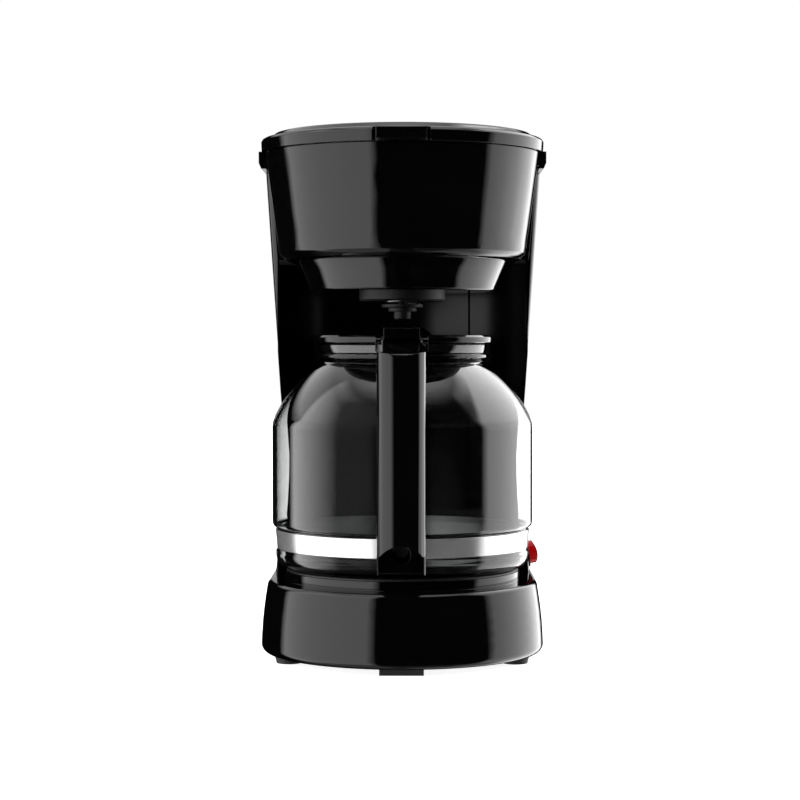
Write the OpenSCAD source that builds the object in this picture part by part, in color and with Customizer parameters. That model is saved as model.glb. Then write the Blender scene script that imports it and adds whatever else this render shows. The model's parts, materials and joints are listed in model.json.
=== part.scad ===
// Twelve-cup drip coffee maker with a glass carafe, a lift-out filter basket and a rear water tank.
// Millimetres, +Z up, the front faces -Y. The origin is the centre of the footprint on the table.
// Modules are drawn about the carafe's upright axis and at_axis() carries them to that origin.

/* [Wall path] */
// Radius of the front half-circle of the wall path, and half the width of its sides
path_r = 70; // [68:0.5:72]
// Distance from the carafe's axis forward to the centre of the front half-circle
front_set = 4; // [2:0.5:6]
// Distance from the carafe's axis back to the rear straight of the wall path
rear_set = 124; // [120:1:132]
// Radius of the two rear corners of the wall path
corner_r = 26; // [22:1:32]
// Thickness of the moulded walls
wall = 2.4; // [2:0.1:3]
// Gap left between two pieces that are seated on each other
seam = 0.2; // [0.1:0.05:0.3]
// Gap between pieces that move past each other
run_gap = 0.6; // [0.4:0.1:1]
// Radial clearance of a pin in its bore
pin_gap = 0.05; // [0.02:0.01:0.1]

/* [Base] */
// Height of the rubber feet
foot_h = 3.3; // [2.5:0.1:4]
// Height of the base's top deck above the table
base_h = 44.5; // [42:0.5:48]
// How far the base's skirt stands outside the wall path at its foot
skirt_out = 11.6; // [10:0.1:12.6]
// How far the base stands outside the wall path at its shoulder
shoulder_out = 8.2; // [7.4:0.1:9]
// How far the skirt bulges outside the straight line from its foot to its shoulder
skirt_bulge = 0.65; // [0:0.05:1]
// Radius of the skirt's bottom edge
skirt_edge_r = 4.5; // [3.5:0.1:5.5]
// Radius of the base's shoulder edge
shoulder_r = 3; // [2.6:0.1:4]
// Outer radius of the raised ring that holds the warming plate
ring_r = 68; // [66:0.5:69]
// Height of the raised ring above the deck
ring_h = 5.3; // [4.5:0.1:6]
// Thickness of the screwed bottom cover
cover_t = 2.2; // [1.8:0.1:3]
// Diameter of the screws of the bottom cover
cover_screw_d = 2.9; // [2.6:0.1:3.5]

/* [Warming plate and heater] */
// Radius of the warming plate
plate_r = 67.2; // [66.5:0.1:67.8]
// Thickness of the warming plate's sheet
plate_t = 1; // [0.8:0.1:1.2]
// Bend radius of the U-shaped water tube under the plate
tube_u_r = 44; // [42:0.5:46]
// Outer radius of the aluminium water tube
tube_r = 6; // [5.5:0.1:6.5]
// Wall of the water tube, the hoses and the riser
tube_t = 1.6; // [1.2:0.1:2]
// Radius of the heating rod's sheath
rod_r = 3.6; // [3:0.1:4]
// Radius of the elbows in the water tube and hoses
elbow_r = 12; // [11:0.5:13]

/* [Tower] */
// Height of the seam at the tower's waist above the base's deck
waist_rise = 68.7; // [66:0.1:75]
// How far the tower stands outside the wall path at its foot
tower_foot_out = 6.4; // [6:0.1:7]
// How far the tower stands outside the wall path at its waist
waist_out = 0.6; // [0.2:0.1:2]
// How far the tower stands outside the wall path at its top
tower_top_out = 11.8; // [11:0.1:12.4]
// Distance from the carafe's axis back to the tower's front edges
tower_front = 34.5; // [32:0.5:36]
// Radius of the hollow front panel behind the carafe
recess_r = 80; // [79:0.5:81]
// Half the width of the raised strip in the middle of the hollow front panel
panel_strip = 40; // [36:1:44]
// Height of the tank's floor above the base's deck
tank_rise = 22.7; // [22:0.1:28]
// Wall of the water tank
tank_t = 1.8; // [1.5:0.1:2.2]

/* [Brew head] */
// Height of the brew head's underside above the carafe's rim
head_gap = 47.3; // [46.5:0.1:50]
// Height of the brew head, from its underside to the rim where the lid's skirt meets it
head_h = 62; // [60:0.5:66]
// How far the brew head stands outside the wall path at its rim
head_top_out = 8.9; // [8:0.1:9.2]
// How far the brew head stands outside the wall path at its underside
head_low_out = 1; // [0:0.1:3]
// How far the funnel housing stands inside the wall path where it leaves the brew head
funnel_in = 9.7; // [9:0.1:11]
// How much smaller the funnel housing's radius is at its floor
funnel_taper = 6.1; // [5:0.1:7]
// Height of the funnel housing that shows under the brew head
funnel_h = 17.2; // [16:0.1:18]
// How far the top frame's flange stands outside the wall path
flange_out = 13.4; // [13.2:0.1:14]
// Height of the top frame's flange above the brew head's rim
flange_rise = 2; // [1.5:0.1:2.5]

/* [Filter basket] */
// Wall of the filter basket
basket_t = 1.8; // [1.5:0.1:2.2]
// How far the basket's rim stands out past the foot of the funnel housing's well
basket_lip = 3.7; // [3.4:0.1:4.2]
// Radius of the round boss under the basket
boss_r = 25; // [22:0.5:27]
// Depth of that boss below the funnel housing's floor
boss_drop = 5.5; // [5:0.1:6]
// Radius of the outlet hole in the basket's floor
outlet_r = 8; // [7.5:0.1:8.5]
// Upward travel of the drip-stop valve
valve_travel = 3; // [2.5:0.1:3.5]

/* [Lid] */
// Height of the lid's rolled rim
lid_rim_h = 6.2; // [5.8:0.1:6.6]
// Height of the lid's raised top above its lower edge
lid_rise = 8.7; // [8.2:0.1:9.4]
// How far the lid stands outside the wall path
lid_out = 11.4; // [11:0.1:12]
// Width of the finger tab at the front of the lid
tab_w = 27.6; // [25:0.2:30]
// Wall of the lid
lid_t = 2; // [1.8:0.1:2.4]
// Radius of the lid's hinge pins
hinge_pin_r = 1.5; // [1.3:0.1:1.6]
// Radius of the shower head under the lid
shower_r = 24; // [22:0.5:28]

/* [Carafe] */
// Greatest radius of the carafe's glass
carafe_r = 75.1; // [74:0.1:75.6]
// Thickness of the glass
glass_t = 2.3; // [2:0.1:2.6]
// Height of the glass from its bottom to its pouring rim
glass_h = 129.6; // [128:0.2:131]
// Radius of the neck at the pouring rim
neck_r = 49; // [48:0.1:50]
// Thickness of the steel band
band_t = 0.6; // [0.4:0.1:0.8]
// Height of the steel band
band_h = 11.3; // [10:0.1:12]
// Radius of the carafe lid's disc
carafe_lid_r = 52.3; // [51.5:0.1:53.5]
// Thickness of the carafe lid's disc
carafe_lid_t = 4.5; // [4:0.1:5]
// Width of the handle
grip_w = 26.3; // [25:0.1:28]
// Thickness of the handle's upright grip
grip_t = 16; // [15:0.5:18]
// Distance from the carafe's axis forward to the front of the handle
handle_reach = 118; // [116:0.5:122]
// Radius of the carafe lid's hinge pin
carafe_pin_r = 1.6; // [1.4:0.1:1.8]

/* [Switch] */
// Height of the rocker's middle above the base's deck
switch_rise = 8.6; // [8.4:0.1:11]
// Distance from the carafe's axis back to the rocker's middle
switch_y = 60; // [60:0.5:70]
// Height of the rocker
rocker_h = 13.6; // [12:0.1:14]
// Length of the rocker along the wall
rocker_l = 18; // [16:0.5:18]

/* [Hidden] */
$fn = 96;
eps = 0.01;

// Places that follow from the sizes above
carafe_y = (handle_reach - rear_set - flange_out) / 2;
front_y = -front_set;
straight_y = rear_set - corner_r;
ring_top_z = base_h + ring_h;
plate_top_z = ring_top_z + seam + plate_t;
glass_z = plate_top_z + 0.3;
glass_rim_z = glass_z + glass_h;
waist_z = base_h + waist_rise;
tank_floor_z = base_h + tank_rise;
switch_z = base_h + switch_rise;
head_z = glass_rim_z + head_gap;
rim_z = head_z + head_h;
funnel_top_r = path_r - funnel_in;
funnel_low_r = funnel_top_r - funnel_taper;
basket_rim_r = funnel_top_r + basket_lip;
tower_top_z = rim_z - 8;
deck_z = tower_top_z + seam;
deck_t = 2;
deck_top_z = deck_z + deck_t;
flange_z = rim_z + flange_rise;
lid_z = flange_z + 0.3;
lid_top_z = lid_z + lid_rise;
funnel_floor_z = head_z - funnel_h;
cover_z = foot_h + seam;
cover_in = skirt_out - skirt_edge_r;

// Outlines are lists of [distance outside the wall path, height], from the bottom up
function arc(cx, cz, r, from, to, steps) =
    [for (i = [0:steps]) let (a = from + (to - from) * i / steps) [cx + r * cos(a), cz + r * sin(a)]];
function beside(outline, r) =
    concat([for (p = outline) [r + p[0], p[1]]], [[0, outline[len(outline) - 1][1]], [0, outline[0][1]]]);
function both_sides(outline, r) =
    concat([for (p = outline) [r + p[0], p[1]]], [for (i = [len(outline) - 1:-1:0])
        [-r - outline[i][0], outline[i][1]]]);
function mix(a, b, t) = a + (b - a) * t;

// How far the tower's wall stands outside the path at a height: it narrows to the waist and flares out above it
function tower_out(z) =
    z < waist_z
        ? mix(tower_foot_out, waist_out, sin(90 * (z - base_h) / (waist_z - base_h)))
        : mix(waist_out, tower_top_out, (z - waist_z) / (tower_top_z - waist_z));
function tower_outline(z0, z1, steps, d = 0) =
    [for (i = [0:steps]) let (z = mix(z0, z1, i / steps)) [tower_out(z) - d, z]];
function head_out(z) = mix(head_low_out, head_top_out, (z - head_z) / (rim_z - head_z));

lower_steps = 5;
upper_steps = 1;
skirt_steps = 5;
shoulder_lean = 8;
skirt_low_z = foot_h + skirt_edge_r;
skirt_top_z = base_h - shoulder_r;
base_outline = concat(
    arc(skirt_out - skirt_edge_r, skirt_low_z, skirt_edge_r, -90, 0, 5),
    [for (i = [1:skirt_steps - 1]) let (t = i / skirt_steps)
        [mix(skirt_out, shoulder_out, t) + skirt_bulge * sin(180 * t), mix(skirt_low_z, skirt_top_z, t)]],
    arc(shoulder_out - shoulder_r, base_h - shoulder_r, shoulder_r, shoulder_lean, 90, 5));
base_inner = [[skirt_out - wall - 0.4, cover_z + cover_t + seam], [skirt_out - wall, foot_h + skirt_edge_r],
    [shoulder_out - wall - 0.3, base_h - shoulder_r], [shoulder_out - shoulder_r, base_h - wall]];
head_edge_r = 4.6;
head_outline = concat(
    arc(head_out(head_z) - head_edge_r, head_z + head_edge_r, head_edge_r, -90, 0, 4),
    [[head_out(rim_z), rim_z]]);
head_inner = [[head_out(head_z) - head_edge_r - 0.6, head_z + wall],
    [head_out(head_z) - wall, head_z + head_edge_r + 1], [head_out(rim_z) - wall, rim_z + 1]];

module at_axis() translate([0, carafe_y, 0]) children();
module both() for (side = [0, 1]) mirror([side, 0, 0]) children();

// Solid inside an outline carried round the front half-circle and back along the sides to y1
module front_fill(outline, y1) {
    translate([0, front_y, 0]) rotate([0, 0, 180]) rotate_extrude(angle = 180)
        polygon(beside(outline, path_r));
    translate([0, y1, 0]) rotate([90, 0, 0]) linear_extrude(y1 - front_y)
        polygon(both_sides(outline, path_r));
}

// Solid inside an outline carried along the sides from y0 and round the rear corners
module back_fill(outline, y0) {
    translate([0, straight_y, 0]) rotate([90, 0, 0]) linear_extrude(straight_y - y0)
        polygon(both_sides(outline, path_r));
    both() translate([path_r - corner_r, straight_y, 0]) rotate_extrude(angle = 90)
        polygon(beside(outline, corner_r));
    translate([corner_r - path_r, straight_y, 0]) rotate([90, 0, 90]) linear_extrude(2 * (path_r - corner_r))
        polygon(beside(outline, corner_r));
}

module full_fill(outline) {
    front_fill(outline, front_y + 1);
    back_fill(outline, front_y + 1);
}

// Pieces of pipe: straight along Z, and a quarter bend from down the Z axis to along +Y
module pipe(r, t, h) difference() {
    cylinder(r = r, h = h);
    translate([0, 0, -1]) cylinder(r = r - t, h = h + 2);
}
module ring_2d(r, t) difference() {
    circle(r);
    circle(r - t);
}

// ---- Base ----
boss_places = [[ring_r + 1, -6], [path_r - 10, rear_set - 22]];
foot_places = [[path_r - 6, -33], [path_r - 12, rear_set - 8]];
boss_screw_r = cover_screw_d / 2;
boss_out_r = boss_screw_r + 2.6;
screw_l = 12;
screw_head_h = 1.8;
cross_l = 3.6;
cross_w = 0.7;
cross_h = 1.1;
vent_l = 48;
vent_w = 3;
vent_step = 9;
hose_y = straight_y + 2;
hose_x = tube_u_r;
deck_slot = [2 * hose_x + 26, 26];
wire_hole = [path_r - 9, switch_y + 6];
wire_hole_r = 5;
inlet_x = 34;
inlet_z = 17;
inlet_bore_r = 3.6;
inlet_r = inlet_bore_r + 1.6;
inlet_lip = 1.4;

module base_housing() color([0.05, 0.05, 0.055]) at_axis() {
    difference() {
        full_fill(base_outline);
        full_fill(base_inner);
        full_fill([[cover_in, 0], [cover_in, cover_z + cover_t + seam + eps]]);
        cylinder(r = ring_r - wall, h = base_h + 1);
        translate([0, hose_y, base_h]) cube([deck_slot[0], deck_slot[1], 3 * wall], center = true);
        translate([wire_hole[0], wire_hole[1], base_h - wall - 1]) cylinder(r = wire_hole_r, h = wall + 3);
        translate([inlet_x, rear_set, inlet_z]) rotate([-90, 0, 0]) cylinder(r = inlet_r + seam, h = 20);
    }
    translate([0, 0, base_h - wall]) pipe(ring_r, wall, ring_h + wall);
    both() for (p = boss_places) translate([p[0], p[1], cover_z + cover_t + seam]) difference() {
        cylinder(r = boss_out_r, h = base_h - wall / 2 - cover_z - cover_t - seam);
        translate([0, 0, -1]) cylinder(r = boss_screw_r + pin_gap, h = screw_l + 1);
    }
}

module base_cover() color([0.07, 0.07, 0.075]) at_axis() {
    difference() {
        full_fill([[cover_in - seam, cover_z], [cover_in - seam, cover_z + cover_t]]);
        both() for (p = boss_places) translate([p[0], p[1], 0]) cylinder(r = boss_screw_r + 0.2, h = 20);
        both() for (p = foot_places) translate([p[0], p[1], 0]) cylinder(r = foot_stem_r + seam, h = 20);
        translate([0, front_foot_y, 0]) cylinder(r = foot_stem_r + seam, h = 20);
        for (i = [-3:3]) translate([-vent_l / 2, i * vent_step - vent_w / 2, 0]) cube([vent_l, vent_w, 20]);
    }
}

foot_r = 8;
foot_stem_r = 3;
front_foot_w = 24.4;
front_foot_l = 13;
front_foot_y = front_y - path_r - cover_in + 7.5;
module rubber_feet() color([0.09, 0.09, 0.09]) at_axis() {
    stem_h = cover_z + cover_t + 0.2 - foot_h;
    both() for (p = foot_places) translate([p[0], p[1], 0]) {
        cylinder(r1 = foot_r - 0.8, r2 = foot_r, h = foot_h);
        translate([0, 0, foot_h]) cylinder(r = foot_stem_r, h = stem_h);
        translate([0, 0, foot_h + stem_h]) cylinder(r1 = foot_stem_r + 1, r2 = foot_stem_r - 0.6, h = 2);
    }
    translate([-front_foot_w / 2, front_foot_y - front_foot_l / 2, 0])
        cube([front_foot_w, front_foot_l, foot_h]);
    translate([0, front_foot_y, foot_h]) cylinder(r = foot_stem_r, h = stem_h);
    translate([0, front_foot_y, foot_h + stem_h]) cylinder(r1 = foot_stem_r + 1, r2 = foot_stem_r - 0.6,
        h = 2);
}

module cover_screws() color([0.6, 0.6, 0.62]) at_axis()
    both() for (p = boss_places) translate([p[0], p[1], cover_z - 0.1]) {
        difference() {
            translate([0, 0, -screw_head_h]) cylinder(r = 2 * boss_screw_r, h = screw_head_h);
            for (turn = [0, 90]) rotate([0, 0, turn])
                translate([-cross_l / 2, -cross_w / 2, -screw_head_h - 0.1])
                    cube([cross_l, cross_w, cross_h]);
        }
        cylinder(r = boss_screw_r, h = screw_l);
    }

module cord_inlet() color([0.06, 0.06, 0.06]) at_axis()
    translate([inlet_x, rear_set, inlet_z]) rotate([-90, 0, 0]) difference() {
        union() {
            cylinder(r = inlet_r, h = skirt_out + inlet_lip);
            translate([0, 0, skirt_out - wall - 4.4]) cylinder(r = inlet_r + 2, h = 1.6);
            translate([0, 0, skirt_out]) cylinder(r = inlet_r + 1.4, h = inlet_lip);
        }
        translate([0, 0, -1]) cylinder(r = inlet_bore_r, h = 30);
    }

// ---- Warming plate and heater ----
dish_drop = 0.8;
dish_r = ring_r - wall - 3.6;
plate_low_z = plate_top_z - dish_drop - plate_t;
stud_r = 2;
nut_z = plate_low_z - 2 * tube_r - seam - 1.8 - seam;
module warming_plate() color([0.12, 0.12, 0.125]) at_axis() {
    rotate_extrude() polygon([[0, plate_top_z - dish_drop], [dish_r, plate_top_z - dish_drop],
        [dish_r + 1.4, plate_top_z], [plate_r - 0.4, plate_top_z], [plate_r, plate_top_z - 0.4],
        [plate_r, plate_top_z - plate_t], [dish_r + 1.8, plate_top_z - plate_t],
        [dish_r + 0.4, plate_low_z], [0, plate_low_z]]);
    translate([0, 0, nut_z - 5]) cylinder(r = stud_r, h = plate_low_z - nut_z + 5 + plate_t / 2);
}

module plate_seal() color([0.35, 0.34, 0.33]) at_axis()
    translate([0, 0, ring_top_z - 3]) pipe(ring_r - wall - seam, 1.5,
        plate_top_z - plate_t - seam - ring_top_z + 3);

hose_in_r = tube_r + pin_gap;
hose_r = hose_in_r + tube_t;
hose_z = cover_z + cover_t + hose_r + 1;
hose_up_z = hose_z + elbow_r;
tube_z = plate_low_z - seam - tube_r;
tube_leg = 22;
tube_bend_r = 10;
stub_z = tube_z - tube_bend_r;
stub_low_z = hose_up_z + seam;
module u_pipe(u_r, r, t, leg) {
    rotate([0, 0, 180]) rotate_extrude(angle = 180) translate([u_r, 0]) ring_2d(r, t);
    both() translate([u_r, leg, 0]) rotate([90, 0, 0]) linear_extrude(leg) ring_2d(r, t);
}
// A quarter bend that starts along +Y at the origin and ends pointing down
module bend_down(r, t, bend) translate([0, 0, -bend]) rotate([0, -90, 0]) rotate_extrude(angle = 90)
    translate([bend, 0]) ring_2d(r, t);
// A quarter bend that comes down to the origin's height and ends along +Y
module bend_back(r, t, bend) translate([0, bend, 0]) rotate([0, -90, 0]) rotate([0, 0, 180])
    rotate_extrude(angle = 90)
    translate([bend, 0]) ring_2d(r, t);
// A quarter bend that starts along +Y at the origin and ends pointing up
module bend_up(r, t, bend) translate([0, 0, bend]) rotate([0, -90, 0]) rotate([0, 0, 90])
    rotate_extrude(angle = 90)
    translate([bend, 0]) ring_2d(r, t);

module water_tube() color([0.72, 0.73, 0.75]) at_axis() {
    translate([0, 0, tube_z]) u_pipe(tube_u_r, tube_r, tube_t, tube_leg);
    both() translate([tube_u_r, tube_leg, tube_z]) {
        bend_down(tube_r, tube_t, tube_bend_r);
        translate([0, tube_bend_r, stub_low_z - tube_z]) pipe(tube_r, tube_t, stub_z - stub_low_z);
    }
}

rod_u_r = tube_u_r - tube_r - rod_r - seam;
rod_z = plate_low_z - seam - rod_r;
rod_leg = 26;
module heating_rod() color([0.5, 0.49, 0.47]) at_axis() translate([0, 0, rod_z]) {
    rotate([0, 0, 180]) rotate_extrude(angle = 180) translate([rod_u_r, 0]) circle(rod_r);
    both() {
        translate([rod_u_r, rod_leg, 0]) rotate([90, 0, 0]) cylinder(r = rod_r, h = rod_leg);
        translate([rod_u_r, rod_leg + 8, 0]) rotate([90, 0, 0]) cylinder(r = 1.3, h = 8 + eps);
    }
}

clamp_t = 1.8;
clamp_z = nut_z + seam;
clamp_arm_w = 14;
clamp_leg_w = 12;
clamp_tail = [28, 30];
clamp_post_r = 5;
thermostat_r = 9;
thermostat_rim = 1.5;
thermostat_gap = 0.1;
thermostat_y = rod_u_r - rod_r - thermostat_gap - thermostat_r - thermostat_rim;
thermostat_cap_h = 2;
thermostat_tab_x = 13.6;
thermostat_tab_w = 6.4;
thermostat_h = 7;
thermostat_z = plate_low_z - seam - thermostat_h;
module heater_clamp() color([0.66, 0.66, 0.68]) at_axis() difference() {
    union() {
        translate([-tube_u_r - tube_r, -clamp_arm_w / 2, clamp_z])
            cube([2 * (tube_u_r + tube_r), clamp_arm_w, clamp_t]);
        translate([-clamp_leg_w / 2, -thermostat_y - 8, clamp_z])
            cube([clamp_leg_w, thermostat_y + 8, clamp_t]);
        translate([0, -thermostat_y, clamp_z]) cylinder(r = clamp_post_r, h = thermostat_z - seam - clamp_z);
        translate([-clamp_tail[0] / 2, 0, clamp_z]) cube([clamp_tail[0], clamp_tail[1], clamp_t]);
    }
    translate([0, 0, clamp_z - 1]) cylinder(r = stud_r + seam, h = clamp_t + 2);
}
nut_h = 3.2;
module clamp_nut() color([0.75, 0.74, 0.7]) at_axis() translate([0, 0, nut_z - nut_h]) difference() {
    cylinder(r = 2 * stud_r, h = nut_h, $fn = 6);
    translate([0, 0, -1]) cylinder(r = stud_r + pin_gap, h = nut_h + 2);
}
module thermostat() color([0.55, 0.5, 0.45]) at_axis() translate([0, -thermostat_y, thermostat_z]) {
    cylinder(r = thermostat_r, h = thermostat_h - thermostat_cap_h);
    translate([0, 0, thermostat_h - thermostat_cap_h]) cylinder(r = thermostat_r + thermostat_rim,
        h = thermostat_cap_h);
    both() translate([thermostat_r - 0.4, -thermostat_tab_w / 2, 1])
        cube([thermostat_tab_x + 1.4 - thermostat_r, thermostat_tab_w, 0.8]);
}
fuse_r = 2;
fuse_l = 22;
fuse_wire_r = 0.6;
fuse_wire_l = 5;
fuse_places = [12, 22];
module thermal_fuses() color([0.8, 0.78, 0.7]) at_axis()
    for (y = fuse_places) translate([-fuse_l / 2, y, clamp_z + clamp_t + fuse_r + 0.1]) rotate([0, 90, 0]) {
        cylinder(r = fuse_r, h = fuse_l);
        translate([0, 0, -fuse_wire_l]) cylinder(r = fuse_wire_r, h = fuse_l + 2 * fuse_wire_l);
    }

// ---- Water circuit ----
hose_front_y = tube_leg + tube_bend_r;
hose_top_z = tank_floor_z - 3;
module hose() {
    translate([0, hose_front_y, 0]) {
        translate([0, 0, hose_up_z]) pipe(hose_r, tube_t, stub_z - 0.4 - hose_up_z);
        translate([0, 0, hose_up_z]) bend_back(hose_r, tube_t, elbow_r);
        translate([0, hose_y - elbow_r - hose_front_y, hose_z]) rotate([90, 0, 0])
            pipe(hose_r, tube_t, hose_y - 2 * elbow_r - hose_front_y);
    }
    translate([0, hose_y - elbow_r, hose_z]) bend_up(hose_r, tube_t, elbow_r);
    translate([0, hose_y, hose_up_z]) pipe(hose_r, tube_t, hose_top_z - hose_up_z);
}
module cold_hose() color([0.82, 0.8, 0.76]) at_axis() translate([-hose_x, 0, 0]) hose();
module hot_hose() color([0.82, 0.8, 0.76]) at_axis() translate([hose_x, 0, 0]) hose();

clamp_w = 4;
module hose_clamps() color([0.7, 0.7, 0.72]) at_axis() both() {
    translate([hose_x, hose_front_y, stub_low_z + 0.6]) pipe(hose_r + seam + 0.8, 0.8, clamp_w);
    translate([hose_x, hose_y, hose_top_z - clamp_w - 2]) pipe(hose_r + seam + 0.8, 0.8, clamp_w);
}

nipple_h = 14;
valve_body_r = tube_r - tube_t - pin_gap;
ball_r = 2.6;
cage_in_r = valve_body_r - 1;
check_z = tank_floor_z - nipple_h + 1;
module check_valve() color([0.85, 0.85, 0.82]) at_axis() translate([-hose_x, hose_y, check_z]) difference() {
    cylinder(r = valve_body_r, h = 11);
    translate([0, 0, 1.5]) cylinder(r = cage_in_r, h = 8);
    translate([0, 0, -1]) cylinder(r = 1.8, h = 14);
}
module check_ball() color([0.8, 0.8, 0.83]) at_axis()
    translate([-hose_x, hose_y, check_z + 1.5 + sqrt(ball_r * ball_r - 1.8 * 1.8) + 0.05]) sphere(ball_r);

riser_r = 5;
riser_top_z = deck_top_z + 0.8;
module riser_tube() color([0.75, 0.74, 0.7]) at_axis() translate([hose_x, hose_y, 0]) {
    translate([0, 0, tank_floor_z - nipple_h]) pipe(tube_r, tube_t + 0.2, nipple_h - 1);
    translate([0, 0, tank_floor_z - 1.2]) difference() {
        cylinder(r = riser_seal_r - 1.6,
            h = riser_top_z - tank_floor_z + 1.2 - (riser_top_z - tank_floor_z - 4));
        translate([0, 0, -1]) cylinder(r = tube_r - tube_t - 0.2, h = 20);
    }
    translate([0, 0, tank_floor_z + 2.8]) pipe(riser_r, riser_r - tube_r + tube_t + 0.2,
        riser_top_z - tank_floor_z - 2.8);
}
riser_seal_r = tube_r + 2.6;
module riser_seal() color([0.5, 0.15, 0.12]) at_axis() translate([hose_x, hose_y, tank_floor_z - 1.4])
    difference() {
        cylinder(r = riser_seal_r, h = 3.4);
        translate([0, 0, -1]) cylinder(r = riser_seal_r - 1.6 + pin_gap, h = 6);
    }

tank_gap = 0.6;
tank_in = wall + tank_gap;
panel_back_r = recess_r + wall;
ceiling_z = head_z + wall;
well_r = funnel_top_r + 2;
module tank_shape(d, top) difference() {
    back_fill(concat(tower_outline(tank_floor_z + d, waist_z - 2, 3, tank_in + d),
        tower_outline(waist_z + 2, top, upper_steps, tank_in + d)), tower_front + wall + tank_gap + d);
    cylinder(r = panel_back_r + tank_gap + d, h = ceiling_z + tank_gap + d);
    cylinder(r = well_r + tank_gap + d, h = tower_top_z + 2);
}
module water_tank() color([0.82, 0.83, 0.84]) at_axis() {
    difference() {
        tank_shape(0, tower_top_z - seam);
        tank_shape(tank_t, tower_top_z + 1);
        translate([-hose_x, hose_y, 0]) cylinder(r = tube_r - tube_t, h = tank_floor_z + 10);
        translate([hose_x, hose_y, 0]) cylinder(r = riser_seal_r + seam / 2, h = tank_floor_z + 10);
    }
    translate([-hose_x, hose_y, tank_floor_z - nipple_h]) pipe(tube_r, tube_t, nipple_h + eps);
}

// ---- Tower ----
tower_back_y0 = tower_front + wall;
module tower_wall(z0, z1, steps) difference() {
    back_fill(tower_outline(z0, z1, steps), tower_front);
    back_fill(tower_outline(z0 - 1, z1 + 1, steps, wall), tower_back_y0);
    translate([0, 0, base_h]) cylinder(r = panel_back_r + seam, h = head_z + wall + seam - base_h);
    translate([0, 0, ceiling_z]) cylinder(r = well_r + run_gap, h = 100);
    translate([-path_r - head_low_out, tower_front - 1, ceiling_z + seam])
        cube([2 * (path_r + head_low_out), wall + 2, 100]);
}
module tower_lower() color([0.05, 0.05, 0.055]) at_axis() difference() {
    tower_wall(base_h, waist_z - seam / 2, lower_steps);
    translate([wall_x, switch_y, switch_z]) rotate([0, 90 - wall_lean, 0])
        linear_extrude(40, center = true) oval(bezel_h, bezel_l);
}
module tower_upper() color([0.05, 0.05, 0.055]) at_axis() tower_wall(waist_z + seam / 2, tower_top_z,
    upper_steps);

strip_rise = 1.2;
panel_outline = concat(tower_outline(base_h, waist_z, lower_steps),
    tower_outline(waist_z + 1, head_z + 8, upper_steps));
module tower_panel() color([0.06, 0.06, 0.065]) at_axis() intersection() {
    difference() {
        cylinder(r = panel_back_r, h = head_z - seam);
        cylinder(r = recess_r, h = head_z);
        difference() {
            cylinder(r = recess_r + strip_rise, h = head_z);
            translate([-panel_strip, 0, 0]) cube([2 * panel_strip, 2 * recess_r, head_z]);
        }
    }
    back_fill(panel_outline, tower_front);
}

// ---- Brew head ----
tank_mouth = [2 * (path_r - 14), 34];
knuckle_x = 50;
knuckle_w = 6;
knuckle_out_r = 2.6;
hinge_y = rear_set + lid_out - knuckle_out_r;
hinge_z = lid_z + knuckle_out_r;
relief = 3.6;
flange_in = head_top_out + 0.3;
deck_out = head_out(deck_z) - wall - 0.3;
flange_rise_z = deck_z + 3.2;
module top_frame() color([0.055, 0.055, 0.06]) at_axis() {
    difference() {
        union() {
            back_fill([[tower_top_out + seam, deck_z], [flange_out, flange_rise_z],
                [flange_out, flange_z]], 0);
            front_fill([[deck_out, deck_z], [deck_out, deck_top_z]], 1);
        }
        back_fill([[flange_in, deck_top_z], [flange_in, flange_z + 1]], -1);
        // The brew housing's side walls come up past the deck in front of the tower
        both() translate([path_r + deck_out, -1, deck_z - 1])
            cube([flange_in - deck_out, tower_front + 1 - seam, deck_t + 1 + eps]);
        translate([0, 0, deck_z - 1]) cylinder(r = basket_rim_r - 2.5, h = 10);
        translate([-tank_mouth[0] / 2, rear_set - 10 - tank_mouth[1], deck_z - 1])
            cube([tank_mouth[0], tank_mouth[1], 10]);
        translate([hose_x, hose_y, deck_z - 1]) cylinder(r = riser_r + 1.2, h = 10);
        translate([-knuckle_x - knuckle_w - 8, hinge_y - relief - 1, hinge_z - relief - 1.4])
            cube([2 * (knuckle_x + knuckle_w + 8), 40, 20]);
    }
    both() translate([knuckle_x, hinge_y, 0]) difference() {
        union() {
            translate([0, -knuckle_out_r, flange_z - 5])
                cube([knuckle_w, 2 * knuckle_out_r, hinge_z - flange_z + 5]);
            translate([0, 0, hinge_z]) rotate([0, 90, 0]) cylinder(r = knuckle_out_r, h = knuckle_w);
        }
        translate([-1, 0, hinge_z]) rotate([0, 90, 0]) cylinder(r = hinge_pin_r + pin_gap, h = knuckle_w + 2);
    }
}

module brew_housing() color([0.05, 0.05, 0.055]) at_axis() difference() {
    union() {
        difference() {
            front_fill(head_outline, tower_front - seam);
            front_fill(head_inner, tower_front + 1);
        }
        translate([0, 0, head_z]) intersection() {
            cylinder(r = recess_r - seam, h = wall);
            translate([-100, tower_front - seam - eps, -1]) cube([200, 200, 10]);
        }
    }
    translate([0, 0, head_z - 1]) cylinder(r = funnel_top_r + seam, h = wall + 2);
}

funnel_t = 2;
module funnel_housing() color([0.055, 0.055, 0.06]) at_axis() rotate_extrude() polygon(concat(
    [[boss_r + run_gap, funnel_floor_z]],
    arc(funnel_low_r - 2, funnel_floor_z + 2, 2, -90, 0, 4),
    [[funnel_top_r, head_z], [funnel_top_r, head_z + wall + seam], [well_r, head_z + wall + seam],
     [well_r, deck_z - seam], [well_r - funnel_t, deck_z - seam], [well_r - funnel_t, head_z + wall + 2.4],
     [funnel_top_r - funnel_t, head_z + wall], [funnel_top_r - funnel_t, head_z],
     [funnel_low_r - funnel_t, funnel_floor_z + funnel_t], [boss_r + run_gap, funnel_floor_z + funnel_t]]));

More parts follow.
